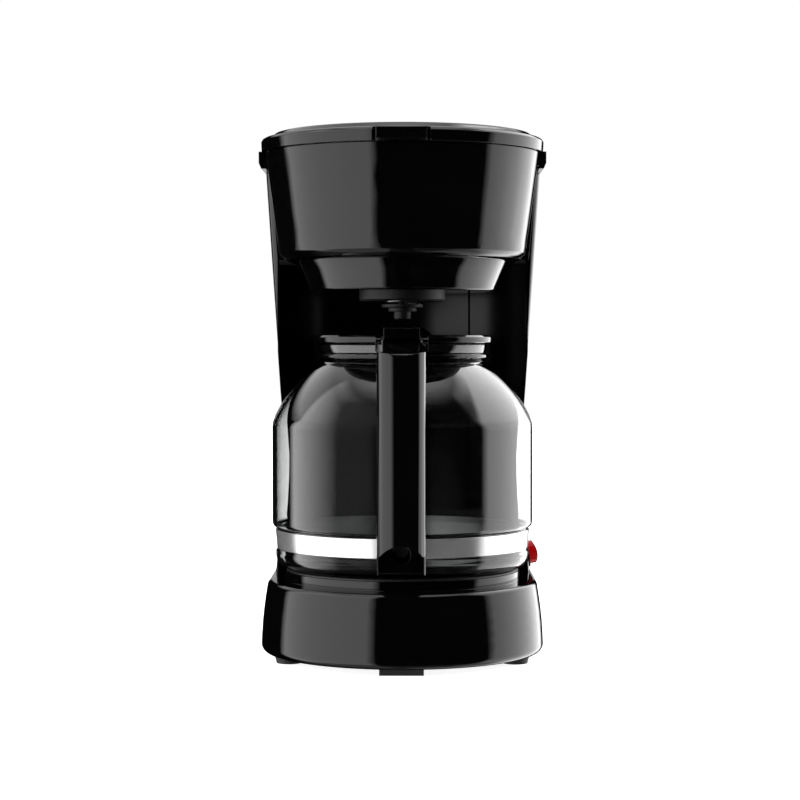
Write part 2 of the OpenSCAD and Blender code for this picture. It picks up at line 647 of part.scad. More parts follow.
// ---- Filter basket and drip stop ----
basket_floor_z = funnel_floor_z + funnel_t + 0.3;
basket_low_r = funnel_low_r - funnel_t - run_gap - 1;
basket_top_r = well_r - funnel_t - run_gap;
basket_rim_z = deck_top_z + 0.1;
boss_z = funnel_floor_z - boss_drop;
flange_r = 12;
pocket_r = flange_r + 0.6;
pocket_h = 5;
module brew_basket() color([0.06, 0.06, 0.065]) at_axis() rotate_extrude() polygon([
    [outlet_r, boss_z + pocket_h], [pocket_r, boss_z + pocket_h], [pocket_r, boss_z], [boss_r - 1, boss_z],
    [boss_r, boss_z + 1], [boss_r, basket_floor_z], [basket_low_r - 1, basket_floor_z],
    [basket_low_r, basket_floor_z + 1], [basket_knee_r, head_z], [basket_top_r, basket_rim_z],
    [basket_rim_r, basket_rim_z],
    [basket_rim_r, basket_rim_z + 1.6], [basket_top_r - basket_t, basket_rim_z + 1.6],
    [basket_knee_r - basket_t, head_z], [basket_low_r - basket_t, basket_floor_z + basket_t],
        [outlet_r, basket_floor_z + basket_t]]);
basket_knee_r = funnel_top_r - funnel_t - run_gap - 1;

seal_t = 1.1;
head_disc_z = basket_floor_z + basket_t + 0.1 + seal_t;
flange_top_z = boss_z - 1.8;
flange_t = 2;
step_r = 8.3;
step_h = 2.1;
tip_r = 5;
tip_h = 5.2;
stem_r = 3;
head_disc_t = 1.4;
step_z = flange_top_z - flange_t - step_h;
tip_z = step_z - tip_h;
head_disc_r = outlet_r + 1.8;
module drip_valve() color([0.1, 0.1, 0.105]) at_axis() rotate_extrude() polygon([
    [0, tip_z], [tip_r - 1, tip_z], [tip_r, tip_z + 1], [tip_r, step_z],
    [step_r, step_z], [step_r, step_z + step_h], [flange_r - 0.4, flange_top_z - flange_t],
    [flange_r, flange_top_z - flange_t + 0.4], [flange_r, flange_top_z], [stem_r, flange_top_z],
    [stem_r, head_disc_z], [head_disc_r, head_disc_z], [head_disc_r, head_disc_z + head_disc_t],
    [stem_r, head_disc_z + head_disc_t + 2], [0, head_disc_z + head_disc_t + 2]]);
module valve_seal() color([0.75, 0.3, 0.2]) at_axis()
    translate([0, 0, head_disc_z - seal_t + 0.05]) pipe(outlet_r + 2, outlet_r + 2 - stem_r - pin_gap,
        seal_t - 0.1);

// A round wire swept along a helix
coil_r = 9.4;
wire_r = 0.45;
coil_turns = 3;
coil_sides = 8;
coil_steps = 20;
function coil_point(k, i, z0, rise) =
    let (a = 360 * k / coil_steps, b = 360 * i / coil_sides, r = coil_r + wire_r * cos(b))
    [r * cos(a), r * sin(a), z0 + rise * k / coil_steps / coil_turns + wire_r * sin(b)];
module valve_spring() color([0.75, 0.75, 0.78]) at_axis() {
    z0 = flange_top_z + wire_r + 0.1;
    rise = boss_z + pocket_h - flange_top_z - 2 * wire_r - 0.2;
    rings = coil_steps * coil_turns;
    points = [for (k = [0:rings], i = [0:coil_sides - 1]) coil_point(k, i, z0, rise)];
    sides = [for (k = [0:rings - 1], i = [0:coil_sides - 1]) let (j = (i + 1) % coil_sides)
        [k * coil_sides + i, k * coil_sides + j, (k + 1) * coil_sides + j, (k + 1) * coil_sides + i]];
    tris = concat([for (f = sides) [f[0], f[1], f[2]]], [for (f = sides) [f[0], f[2], f[3]]]);
    first_cap = [for (i = [coil_sides - 1:-1:0]) i];
    last_cap = [for (i = [0:coil_sides - 1]) rings * coil_sides + i];
    polyhedron(points, concat(tris, [first_cap, last_cap]));
}

// ---- Lid ----
lid_edge = 1.6;
rim_top_z = lid_z + lid_rim_h;
lid_outline = [[lid_out - 0.2, lid_z], [lid_out, rim_top_z - 2.3], [lid_out - 0.7, rim_top_z - 1.1],
    [lid_out - lid_edge, rim_top_z - 0.6], [lid_out - 2 * lid_edge, rim_top_z - 0.1], [6.4, rim_top_z],
    [4.6, lid_top_z - 1.2], [3.6, lid_top_z - 0.3], [2.4, lid_top_z]];
lid_inner = [[lid_out - 0.6 - lid_t, lid_z - 1], [lid_out - 0.6 - lid_t, lid_z + lid_rim_h - lid_t],
    [3, lid_z + lid_rim_h - lid_t + 0.4], [2, lid_top_z - lid_t]];
skirt_outline = [[lid_out - 0.3, rim_z + 0.3], [lid_out - 0.2, lid_z]];
notch_w = 2;
module lid() color([0.05, 0.05, 0.055]) at_axis() {
    difference() {
        union() {
            full_fill(lid_outline);
            front_fill(skirt_outline, -0.5);
            translate([-tab_w / 2, front_y - path_r - lid_out - 1.2, rim_z + 1.3])
                cube([tab_w, 8, lid_z + lid_rim_h - rim_z - 2.2]);
        }
        full_fill(lid_inner);
        front_fill([[head_top_out - 0.6, rim_z - 1], [head_top_out - 0.6, lid_z + 1]], 0);
        both() translate([tab_w / 2, front_y - path_r - lid_out - 3, rim_z]) cube([notch_w, 6, 20]);
        both() translate([knuckle_x - run_gap, hinge_y - relief - 1, lid_z - 2])
            cube([knuckle_w + 2 * run_gap, 40, 20]);
        both() translate([knuckle_x - 9, hinge_y, hinge_z]) rotate([0, 90, 0])
            cylinder(r = hinge_pin_r + pin_gap, h = knuckle_w + 18);
    }
    both() for (x = [knuckle_x - run_gap - 5, knuckle_x + knuckle_w + run_gap])
        translate([x, hinge_y, hinge_z]) difference() {
        union() {
            rotate([0, 90, 0]) cylinder(r = 2.5, h = 5);
            translate([0, -2.5, 0]) cube([5, 3, 3.6]);
        }
        translate([-1, 0, 0]) rotate([0, 90, 0]) cylinder(r = hinge_pin_r + pin_gap, h = 7);
    }
}
module lid_hinge_pins() color([0.7, 0.7, 0.72]) at_axis()
    both() translate([knuckle_x - 5, hinge_y, hinge_z]) rotate([0, 90, 0]) cylinder(r = hinge_pin_r,
        h = knuckle_w + 10);

liner_z = lid_z + 0.6;
liner_t = 1.6;
duct_w = 14;
duct_h = 5;
duct_t = 1.4;
duct_l = sqrt(hose_x * hose_x + hose_y * hose_y);
duct_turn = atan2(hose_y, hose_x);
collar_r = riser_r + 3.4;
shower_h = 3.4;
module lid_liner() color([0.08, 0.08, 0.085]) at_axis() {
    difference() {
        full_fill([[lid_out - 0.6 - lid_t - 0.3, liner_z], [lid_out - 0.6 - lid_t - 0.3, liner_z + liner_t]]);
        translate([-path_r, hinge_y - relief - 2, 0]) cube([2 * path_r, 40, 400]);
    }
    difference() {
        union() {
            rotate([0, 0, duct_turn]) translate([0, -duct_w / 2, liner_z - duct_h])
                cube([duct_l, duct_w, duct_h + eps]);
            translate([hose_x, hose_y, liner_z - duct_h]) cylinder(r = collar_r + duct_t, h = duct_h + eps);
            translate([0, 0, liner_z - duct_h]) cylinder(r = duct_w / 2 + 3, h = duct_h + eps);
        }
        rotate([0, 0, duct_turn]) translate([0, -duct_w / 2 + duct_t, liner_z - duct_h + duct_t])
            cube([duct_l, duct_w - 2 * duct_t, duct_h - 2 * duct_t]);
        translate([hose_x, hose_y, liner_z - duct_h - 1]) cylinder(r = collar_r, h = duct_h + 1 - duct_t);
        translate([0, 0, liner_z - duct_h - 1]) cylinder(r = duct_w / 2 - duct_t, h = duct_h + 1 - duct_t);
    }
}

shower_z = liner_z - duct_h - seam - shower_h;
module shower_head() color([0.08, 0.08, 0.085]) at_axis() difference() {
    translate([0, 0, shower_z]) cylinder(r = shower_r, h = shower_h);
    translate([0, 0, shower_z + 1.2]) cylinder(r = shower_r - 1.4, h = shower_h - 2.4);
    translate([0, 0, shower_z + shower_h - 2]) cylinder(r = duct_w / 2 - duct_t, h = 4);
    for (ring = [1:3], i = [0:ring * 6 - 1]) rotate([0, 0, 360 * i / (ring * 6)])
        translate([ring * shower_r / 4, 0, shower_z - 1]) cylinder(r = 0.9, h = 3);
}

// ---- Switch ----
bezel_lip = 1.2;
wall_x = path_r + tower_out(switch_z);
rocker_gap = 0.5;
rocker_proud = 6.6;
rocker_tilt = -4;
wall_lean = atan((tower_out(switch_z - 6) - tower_out(switch_z + 6)) / 12);
// An oval drawn for a cut along X: its height lies along X here and its length along Y
module oval(h, l) {
    square([h, l - h], center = true);
    for (end = [-1, 1]) translate([0, end * (l - h) / 2]) circle(h / 2);
}
pivot_in = 3;
axle_r = 1.4;
axle_l = rocker_l + 2 * rocker_gap + 0.8;
bezel_depth = 5.2;
bezel_rim_w = 0.3;
bezel_rim_t = 1;
bezel_h = rocker_h + 2 * bezel_lip;
bezel_l = rocker_l + 2 * bezel_lip;
module switch_bezel() color([0.05, 0.05, 0.05]) at_axis() translate([wall_x, switch_y, switch_z])
    rotate([0, 90 - wall_lean, 0]) difference() {
        union() {
            translate([0, 0, -bezel_depth]) linear_extrude(bezel_depth + bezel_rim_t)
                oval(bezel_h - 2 * seam, bezel_l - 2 * seam);
            translate([0, 0, seam + 0.45]) linear_extrude(bezel_rim_t)
                oval(bezel_h + 2 * bezel_rim_w, bezel_l + 2 * bezel_rim_w);
        }
        translate([0, 0, -pivot_in]) rotate([90, 0, 0])
            cylinder(r = axle_r + pin_gap, h = 2 * bezel_l, center = true);
        translate([0, 0, -bezel_depth - 1]) linear_extrude(bezel_depth + bezel_rim_t + 3)
            oval(rocker_h + 2 * rocker_gap, rocker_l + 2 * rocker_gap);
    }
rocker_dome_r = 13;
rocker_depth = 4.6;
module switch_rocker() color([0.75, 0.02, 0.02]) at_axis()
    translate([wall_x - pivot_in * cos(wall_lean), switch_y, switch_z - pivot_in * sin(wall_lean)])
        rotate([0, 90 - wall_lean + rocker_tilt, 0]) {
            translate([0, 0, pivot_in]) intersection() {
                translate([0, 0, -rocker_depth]) linear_extrude(2 * rocker_dome_r) oval(rocker_h, rocker_l);
                translate([0, 0, rocker_proud - rocker_dome_r]) rotate([90, 0, 0])
                    cylinder(r = rocker_dome_r, h = 2 * rocker_l, center = true);
            }
            rotate([90, 0, 0]) cylinder(r = axle_r, h = axle_l, center = true);
        }
switch_depth = 5;
switch_l = 14;
switch_tab_l = 4;
module switch_body() color([0.12, 0.12, 0.12]) at_axis() translate([wall_x, switch_y, switch_z])
    rotate([0, 90 - wall_lean, 0]) translate([0, 0, -bezel_depth - seam - switch_depth]) {
        translate([-rocker_h / 2, -switch_l / 2, 0]) cube([rocker_h, switch_l, switch_depth]);
        for (y = [0, 3, 6]) translate([-2, y - 0.4, -switch_tab_l]) cube([4, 0.8, switch_tab_l + eps]);
    }

// Insulated wires inside the base: each runs straight between its points, with a rounded knee
lead_r = 1.1;
knee_r = 1.9;
module lead(points) {
    for (i = [0:len(points) - 2]) {
        along = points[i + 1] - points[i];
        flat = norm([along[0], along[1]]);
        translate(points[i]) rotate([0, atan2(flat, along[2]), atan2(along[1], along[0])])
            cylinder(r = lead_r, h = norm(along));
        if (i > 0) translate(points[i]) sphere(knee_r);
    }
}
lead_z = 28;
block_place = [inlet_x - 22, rear_set - 12];
block_size = [26, 10, 11];
module terminal_block() color([0.85, 0.84, 0.8]) at_axis()
    translate([block_place[0] - block_size[0] / 2, block_place[1] - block_size[1] / 2,
        cover_z + cover_t + 0.1])
        difference() {
            cube(block_size);
            for (i = [0:2]) translate([5 + 8 * i, block_size[1] / 2, 2]) cylinder(r = 1.8, h = 20);
        }
block_top_z = cover_z + cover_t + block_size[2] + 0.1;
tab_x = wall_x - bezel_depth - seam - switch_depth - switch_tab_l;
tab_low_z = switch_z - 4.6;
module switch_leads() color([0.6, 0.08, 0.06]) at_axis() {
    rod_pin = [rod_u_r, rod_leg + 8 + seam, rod_z];
    block_in = [block_place[0] - 8, block_place[1]];
    block_out = [block_place[0] + 8, block_place[1]];
    heater_up = [wire_hole[0], wire_hole[1] - 2];
    supply_up = [wire_hole[0], wire_hole[1] + 2];
    thermostat_tab = [thermostat_tab_x, -thermostat_y, thermostat_z + 0.5];
    lead([rod_pin, rod_pin + [0, 5, 0], [rod_u_r, rod_leg + 16, lead_z], [heater_up[0], heater_up[1], lead_z],
        [tab_x + 1, switch_y + 3.4, tab_low_z]]);
    mirror([1, 0, 0]) lead([rod_pin, rod_pin + [0, 5, 0], [rod_u_r, rod_leg + 14, lead_z],
        [18, -thermostat_y, lead_z], thermostat_tab]);
    lead([thermostat_tab, [18, -thermostat_y, lead_z - 4], [block_in[0], block_in[1] - 20, lead_z - 4],
        [block_in[0], block_in[1], lead_z - 6], [block_in[0], block_in[1], block_top_z + 0.2]]);
    lead([[tab_x + 1, switch_y + 6.4, tab_low_z], [supply_up[0], supply_up[1], lead_z + 3],
        [block_out[0], block_out[1], lead_z], [block_out[0], block_out[1], block_top_z + 0.2]]);
}

// ---- Carafe ----
band_z = glass_z + 11.3;
band_r = carafe_r - 1.4;
groove_r = band_r - band_t - seam;
neck_low_z = glass_rim_z - 8.6;
collar_h = 2.4;
collar_in_r = neck_r - 1.8;
// Outer face of the glass from its foot to its rim; shoulder_turn bends the sides in to the neck
shoulder_z = glass_rim_z - 48;
glass_outer = concat(
    [[0, glass_z + 1.6], [52, glass_z + 1.6], [58, glass_z]],
    arc(band_r - 8.2, glass_z + 8, 8, -70, 0, 5),
    [[band_r - 0.2, band_z - 1.2], [groove_r, band_z - 0.6], [groove_r, band_z + band_h + 0.6],
        [carafe_r, band_z + band_h + 2.4]],
    arc(carafe_r - 46, shoulder_z, 46, 0, 52, 9),
    [[collar_in_r + 3, neck_low_z - 0.6], [collar_in_r, neck_low_z + 0.3],
        [collar_in_r, neck_low_z + collar_h + 0.1],
     [neck_r - 0.4, neck_low_z + collar_h + 1.1], [neck_r, glass_rim_z]]);
glass_inner = concat(
    [[neck_r - glass_t, glass_rim_z], [neck_r - glass_t - 0.4, neck_low_z + collar_h + 1.1],
     [collar_in_r - glass_t, neck_low_z + collar_h], [collar_in_r - glass_t, neck_low_z],
         [collar_in_r - 0.2, neck_low_z - 2.2]],
    arc(carafe_r - 46, shoulder_z, 46 - glass_t, 50, 0, 8),
    [[carafe_r - glass_t, band_z + band_h + 3.2], [groove_r - glass_t, band_z + band_h],
        [groove_r - glass_t, band_z]],
    arc(band_r - 8.2, glass_z + 8, 8 - glass_t, 0, -70, 4),
    [[58, glass_z + glass_t], [52, glass_z + glass_t + 1.6], [0, glass_z + glass_t + 1.6]]);
module carafe_glass() color([0.8, 0.85, 0.87, 0.4]) at_axis() rotate_extrude()
    polygon(concat(glass_outer, glass_inner));

module steel_band() color([0.78, 0.78, 0.8]) at_axis() translate([0, 0, band_z]) pipe(band_r, band_t, band_h);

module neck_collar() color([0.05, 0.05, 0.055]) at_axis() translate([0, 0, neck_low_z + 0.4])
    pipe(neck_r + 0.8, neck_r + 0.8 - collar_in_r - seam, collar_h - 0.4);

arm_z = band_z + 0.4;
grip_top_z = glass_rim_z - 6.6;
grip_low_z = glass_z + 7;
ear_x = 11.2;
ear_t = 3.4;
hinge_out_y = carafe_lid_r + 6.5;
hinge_up_z = glass_rim_z + 0.4;
knuckle_r = 3.6;
handle_side = concat(
    [[-band_r - seam, arm_z], [-band_r - 14, arm_z], [-handle_reach + grip_t + 2, grip_low_z + 1],
        [-handle_reach + 7, grip_low_z]],
    arc(-handle_reach + 5, grip_low_z + 5, 5, 270, 180, 4),
    arc(-handle_reach + 9, grip_top_z - 3, 9, 180, 90, 5),
    [[-hinge_out_y - 4, grip_top_z + 7.2], [-neck_r - 0.8 - seam, grip_top_z + 4.4],
        [-neck_r - 0.8 - seam, grip_top_z - 0.2],
     [-handle_reach + grip_t + 10, grip_top_z - 9], [-handle_reach + grip_t, grip_top_z - 20],
     [-handle_reach + grip_t, arm_z + 24], [-handle_reach + grip_t + 8, arm_z + 13],
         [-band_r - seam, arm_z + band_h - 1]]);
screw_z = arm_z + 5.4;
recess_w = grip_w - 3.5;
recess_h = 15.7;
recess_d = 12;
arch_r = 13.8;
module carafe_handle() color([0.05, 0.05, 0.055]) at_axis() {
    difference() {
        union() {
            intersection() {
                translate([-grip_w / 2, 0, 0]) rotate([90, 0, 90]) linear_extrude(grip_w)
                    polygon(handle_side);
                union() {
                    translate([0, -handle_reach + 22, 0]) cylinder(r = 22, h = 300);
                    translate([-grip_w / 2, -handle_reach + 22, 0]) cube([grip_w, 100, 300]);
                }
            }
            both() translate([ear_x, -hinge_out_y, 0]) {
                translate([0, -5, grip_top_z + 2]) cube([ear_t, 10, hinge_up_z - grip_top_z - 2]);
                translate([0, 0, hinge_up_z]) rotate([0, 90, 0]) cylinder(r = 4, h = ear_t);
            }
        }
        translate([-ear_x, -hinge_out_y - 12, hinge_up_z - knuckle_r - run_gap]) cube([2 * ear_x, 40, 40]);
        translate([-20, -hinge_out_y, hinge_up_z]) rotate([0, 90, 0])
            cylinder(r = carafe_pin_r + pin_gap, h = 40);
        translate([0, -band_r + 10, screw_z]) rotate([90, 0, 0]) cylinder(r = screw_r + pin_gap, h = 60);
        translate([0, -band_r - 12, screw_z]) rotate([90, 0, 0]) cylinder(r = 5, h = 60);
        // The arched hollow at the foot of the grip, with the screw at its bottom
        translate([0, recess_d - handle_reach, 0]) rotate([90, 0, 0]) linear_extrude(recess_d + 1)
            intersection() {
            translate([-recess_w / 2, grip_low_z - 1]) square([recess_w, recess_h + 1]);
            translate([0, grip_low_z + recess_h - arch_r]) circle(arch_r);
        }
    }
    translate([-grip_w / 2 + 4, -band_r - 12, screw_z - 4]) difference() {
        cube([grip_w - 8, 2, 8]);
        translate([grip_w / 2 - 4, 3, 4]) rotate([90, 0, 0]) cylinder(r = screw_r + pin_gap, h = 5);
    }
}
screw_r = 1.8;
module handle_screw() color([0.6, 0.6, 0.62]) at_axis() translate([0, -band_r - 12 - seam, screw_z])
    rotate([90, 0, 0]) {
    difference() {
        cylinder(r = 3.4, h = 2.2);
        for (turn = [0, 90]) rotate([0, 0, turn]) translate([-2, -0.4, 1]) cube([4, 0.8, 2]);
    }
    translate([0, 0, -10]) cylinder(r = screw_r, h = 10 + eps);
}

lid_skirt_r = neck_r - glass_t - 0.8;
disc_z = glass_rim_z + 0.3;
disc_top_z = disc_z + carafe_lid_t;
cone_low_r = 17.5;
cone_top_r = 11;
cone_h = 6.2;
module carafe_lid() color([0.055, 0.055, 0.06]) at_axis() {
    difference() {
        rotate_extrude() polygon([[0, disc_top_z - 3], [0, disc_top_z + cone_h],
            [cone_top_r - 1, disc_top_z + cone_h],
            [cone_top_r, disc_top_z + cone_h - 1], [cone_low_r, disc_top_z + 0.7],
                [cone_low_r + 4, disc_top_z], [carafe_lid_r - 1.2, disc_top_z],
            [carafe_lid_r, disc_top_z - 1.2], [carafe_lid_r, disc_z + 0.6],
                [carafe_lid_r - 0.6, disc_z], [lid_skirt_r, disc_z],
            [lid_skirt_r - 1.4, disc_z - 9], [lid_skirt_r - 3, disc_z - 9],
                [lid_skirt_r - 2, disc_top_z - 3]]);
        for (i = [0:5]) rotate([0, 0, 60 * i]) translate([7.2, 0, disc_z]) cylinder(r = 1.5, h = 40);
    }
    difference() {
        union() {
            translate([-ear_x + 0.6, -hinge_out_y, hinge_up_z]) rotate([0, 90, 0])
                cylinder(r = knuckle_r, h = 2 * ear_x - 1.2);
            translate([-ear_x + 0.6, -hinge_out_y, hinge_up_z - 0.3]) cube([2 * ear_x - 1.2, 14, 3.9]);
            translate([-9.95, -hinge_out_y - 8, hinge_up_z + 2.4]) cube([19.9, 12, 3.2]);
            translate([-9.95, -hinge_out_y - 8, hinge_up_z + 4.6]) cube([19.9, 5, 3.6]);
        }
        translate([-20, -hinge_out_y, hinge_up_z]) rotate([0, 90, 0])
            cylinder(r = carafe_pin_r + pin_gap, h = 40);
    }
}
module carafe_hinge_pin() color([0.7, 0.7, 0.72]) at_axis()
    translate([-ear_x - ear_t, -hinge_out_y, hinge_up_z]) rotate([0, 90, 0]) cylinder(r = carafe_pin_r,
        h = 2 * (ear_x + ear_t));

base_housing();
base_cover();
rubber_feet();
cover_screws();
warming_plate();
plate_seal();
water_tube();
heating_rod();
heater_clamp();
clamp_nut();
thermostat();
thermal_fuses();
cold_hose();
hot_hose();
hose_clamps();
check_valve();
check_ball();
riser_tube();
riser_seal();
water_tank();
tower_lower();
tower_upper();
tower_panel();
top_frame();
brew_housing();
funnel_housing();
switch_body();
switch_rocker();
switch_bezel();
switch_leads();
terminal_block();
cord_inlet();
lid();
lid_liner();
shower_head();
lid_hinge_pins();
brew_basket();
drip_valve();
valve_seal();
valve_spring();
carafe_glass();
steel_band();
neck_collar();
carafe_handle();
handle_screw();
carafe_lid();
carafe_hinge_pin();
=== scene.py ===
import json
import math

import bmesh
import bpy
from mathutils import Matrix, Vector


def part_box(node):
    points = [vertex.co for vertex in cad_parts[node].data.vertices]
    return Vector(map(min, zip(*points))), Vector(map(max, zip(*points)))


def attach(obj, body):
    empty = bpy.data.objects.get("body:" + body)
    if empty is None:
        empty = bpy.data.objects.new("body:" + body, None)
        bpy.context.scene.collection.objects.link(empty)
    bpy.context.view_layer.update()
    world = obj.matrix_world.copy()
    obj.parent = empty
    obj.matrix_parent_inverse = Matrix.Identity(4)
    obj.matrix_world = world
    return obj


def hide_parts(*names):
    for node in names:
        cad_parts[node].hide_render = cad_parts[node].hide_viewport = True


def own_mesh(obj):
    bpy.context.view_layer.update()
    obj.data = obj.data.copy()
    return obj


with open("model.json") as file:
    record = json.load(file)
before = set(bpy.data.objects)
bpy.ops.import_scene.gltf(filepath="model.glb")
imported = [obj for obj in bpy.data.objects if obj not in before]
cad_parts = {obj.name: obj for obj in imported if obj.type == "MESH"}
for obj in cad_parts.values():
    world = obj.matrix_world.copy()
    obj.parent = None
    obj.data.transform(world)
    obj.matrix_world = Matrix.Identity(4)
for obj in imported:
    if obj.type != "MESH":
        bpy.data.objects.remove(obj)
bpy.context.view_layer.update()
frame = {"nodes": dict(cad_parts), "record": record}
nodes = frame["nodes"]
MM = 0.001

# Taken from the frame: the carafe's upright axis, and the radii and heights that its pieces share
GLASS_LOW, GLASS_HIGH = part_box("carafe_glass")
BAND_LOW, BAND_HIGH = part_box("steel_band")
AXIS_Y = (GLASS_LOW[1] + GLASS_HIGH[1]) / 2
GLASS_R = GLASS_HIGH[0] + 0.4 * MM
GLASS_Z = GLASS_LOW[2]
RIM_Z = GLASS_HIGH[2]
BAND_R = BAND_HIGH[0]
BAND_Z = BAND_LOW[2]
BAND_TOP = BAND_HIGH[2]


# ---------------------------------------------------------------- shader helpers
def math_node(tree, operation, first, second):
    """Joins two sockets, or a socket and a number, with one sum."""
    node = tree.nodes.new("ShaderNodeMath")
    node.operation = operation
    for slot, value in enumerate((first, second)):
        if isinstance(value, (int, float)):
            node.inputs[slot].default_value = value
        else:
            tree.links.new(value, node.inputs[slot])
    return node.outputs[0]


def chain(tree, operation, first, *others):
    """The same sum over several values, from left to right."""
    for other in others:
        first = math_node(tree, operation, first, other)
    return first


def ramp(tree, value, low, high, to_low=0.0, to_high=1.0):
    """Maps a value from one range to another, held at both ends."""
    node = tree.nodes.new("ShaderNodeMapRange")
    node.inputs["From Min"].default_value = low
    node.inputs["From Max"].default_value = high
    node.inputs["To Min"].default_value = to_low
    node.inputs["To Max"].default_value = to_high
    tree.links.new(value, node.inputs["Value"])
    return node.outputs[0]


def azimuth_of(tree, sideways, ahead):
    """The angle in degrees, from the front towards +X, of a place or a direction."""
    return math_node(tree, "MULTIPLY", math_node(tree, "ARCTAN2", sideways, ahead), 180 / math.pi)


def noise(tree, vector, scale, detail):
    node = tree.nodes.new("ShaderNodeTexNoise")
    node.inputs["Detail"].default_value = detail
    tree.links.new(vector, node.inputs["Vector"])
    if isinstance(scale, (int, float)):
        node.inputs["Scale"].default_value = scale
    else:
        tree.links.new(scale, node.inputs["Scale"])
    return node.outputs["Fac"]


def between(tree, factor, first, second):
    """A colour between two others."""
    mix = tree.nodes.new("ShaderNodeMix")
    mix.data_type = "RGBA"
    mix.inputs["A"].default_value = (*first, 1)
    mix.inputs["B"].default_value = (*second, 1)
    tree.links.new(factor, mix.inputs["Factor"])
    return mix.outputs["Result"]


# ---------------------------------------------------------------- studio
CAMERA_AT = (0.0074, -1.2097, 0.1802)
CAMERA_DOWN = 1.53      # degrees below level
CAMERA_TURN = 0.42      # degrees towards -X
LENS = 92.9             # millimetres, for the sensor's width below
SENSOR = 36


def make_camera():
    data = bpy.data.cameras.new("camera")
    data.lens = LENS
    data.sensor_width = SENSOR
    camera = bpy.data.objects.new("camera", data)
    camera.location = CAMERA_AT
    camera.rotation_euler = (math.radians(90 - CAMERA_DOWN), 0, math.radians(CAMERA_TURN))
    bpy.context.scene.collection.objects.link(camera)
    bpy.context.scene.camera = camera


# The lamps' azimuths in degrees from the front towards +X, and what the lamps share
SOFTBOXES = {"left_softbox": -64, "right_softbox": 70}
SOFTBOX_DISTANCE = 1.8
SOFTBOX_Z = 1.3
SOFTBOX_WIDTH = 1.4
SOFTBOX_TALL = 1.2
SOFTBOX_WATTS = 22
SOFTBOX_AIM = Vector((0, 0, 0.15))


def make_softbox(name, azimuth):
    """A rectangular lamp that lights the object without showing in its gloss."""
    data = bpy.data.lights.new(name, "AREA")
    data.shape = "RECTANGLE"
    data.size = SOFTBOX_WIDTH
    data.size_y = SOFTBOX_TALL
    data.energy = SOFTBOX_WATTS
    lamp = bpy.data.objects.new(name, data)
    turn = math.radians(azimuth)
    lamp.location = (math.sin(turn) * SOFTBOX_DISTANCE, -math.cos(turn) * SOFTBOX_DISTANCE,
                     SOFTBOX_Z)
    aim = SOFTBOX_AIM - lamp.location
    lamp.rotation_euler = aim.to_track_quat("-Z", "Y").to_euler()
    bpy.context.scene.collection.objects.link(lamp)
    lamp.visible_glossy = False
    lamp.visible_transmission = False


# Side panels: azimuths of their two edges, width of the soft edge, and level at each edge
LEFT_PANEL = (-117, -21, 8, 2.05, 1.75)
RIGHT_PANEL = (73, 160, 8, 1.45, 3.9)
# The ramps below run over a direction's height, -1 straight down and 1 straight up, unless they
# are said to run over its depth, 1 straight away from the camera. A second pair holds the levels.
PANEL_FOOT = (-0.78, -0.64, 0.3, 1.0)
PANEL_RISE = (0.35, 0.6, 1.0, 1.15)
PANEL_TOP = (0.9, 0.8)
BACK_PANEL_HEIGHT = (0.35, 0.45)
BACK_PANEL_DEPTH = (0.1, 0.2)
OVERHEAD_EDGE = (0.78, 0.82)
OVERHEAD_LEVEL = (0.8, 0.96, 0.1, 2.0)
FLOOR_GLOW = (-0.64, -0.78, 0.0, 0.12)
AMBIENT = 0.003
BEHIND_GLASS = 0.12
# The white sweep, over depth: how far it reaches in mirror images, and through the glass
MIRRORED_SWEEP = (0.985, 0.998)
PASSED_SWEEP = (0.96, 0.985)


def panel(tree, azimuth, height, start, finish, soft, first, last):
    """A tall lit panel between two azimuths, fading from one level to another across it."""
    inward = ramp(tree, azimuth, start, start + soft)
    outward = ramp(tree, azimuth, finish, finish - soft)
    level = ramp(tree, azimuth, start, finish, first, last)
    under = ramp(tree, height, *PANEL_FOOT)
    over = chain(tree, "MULTIPLY", ramp(tree, height, *PANEL_TOP),
                 ramp(tree, height, *PANEL_RISE))
    upright = math_node(tree, "MULTIPLY", under, over)
    return chain(tree, "MULTIPLY", inward, outward, level, upright)


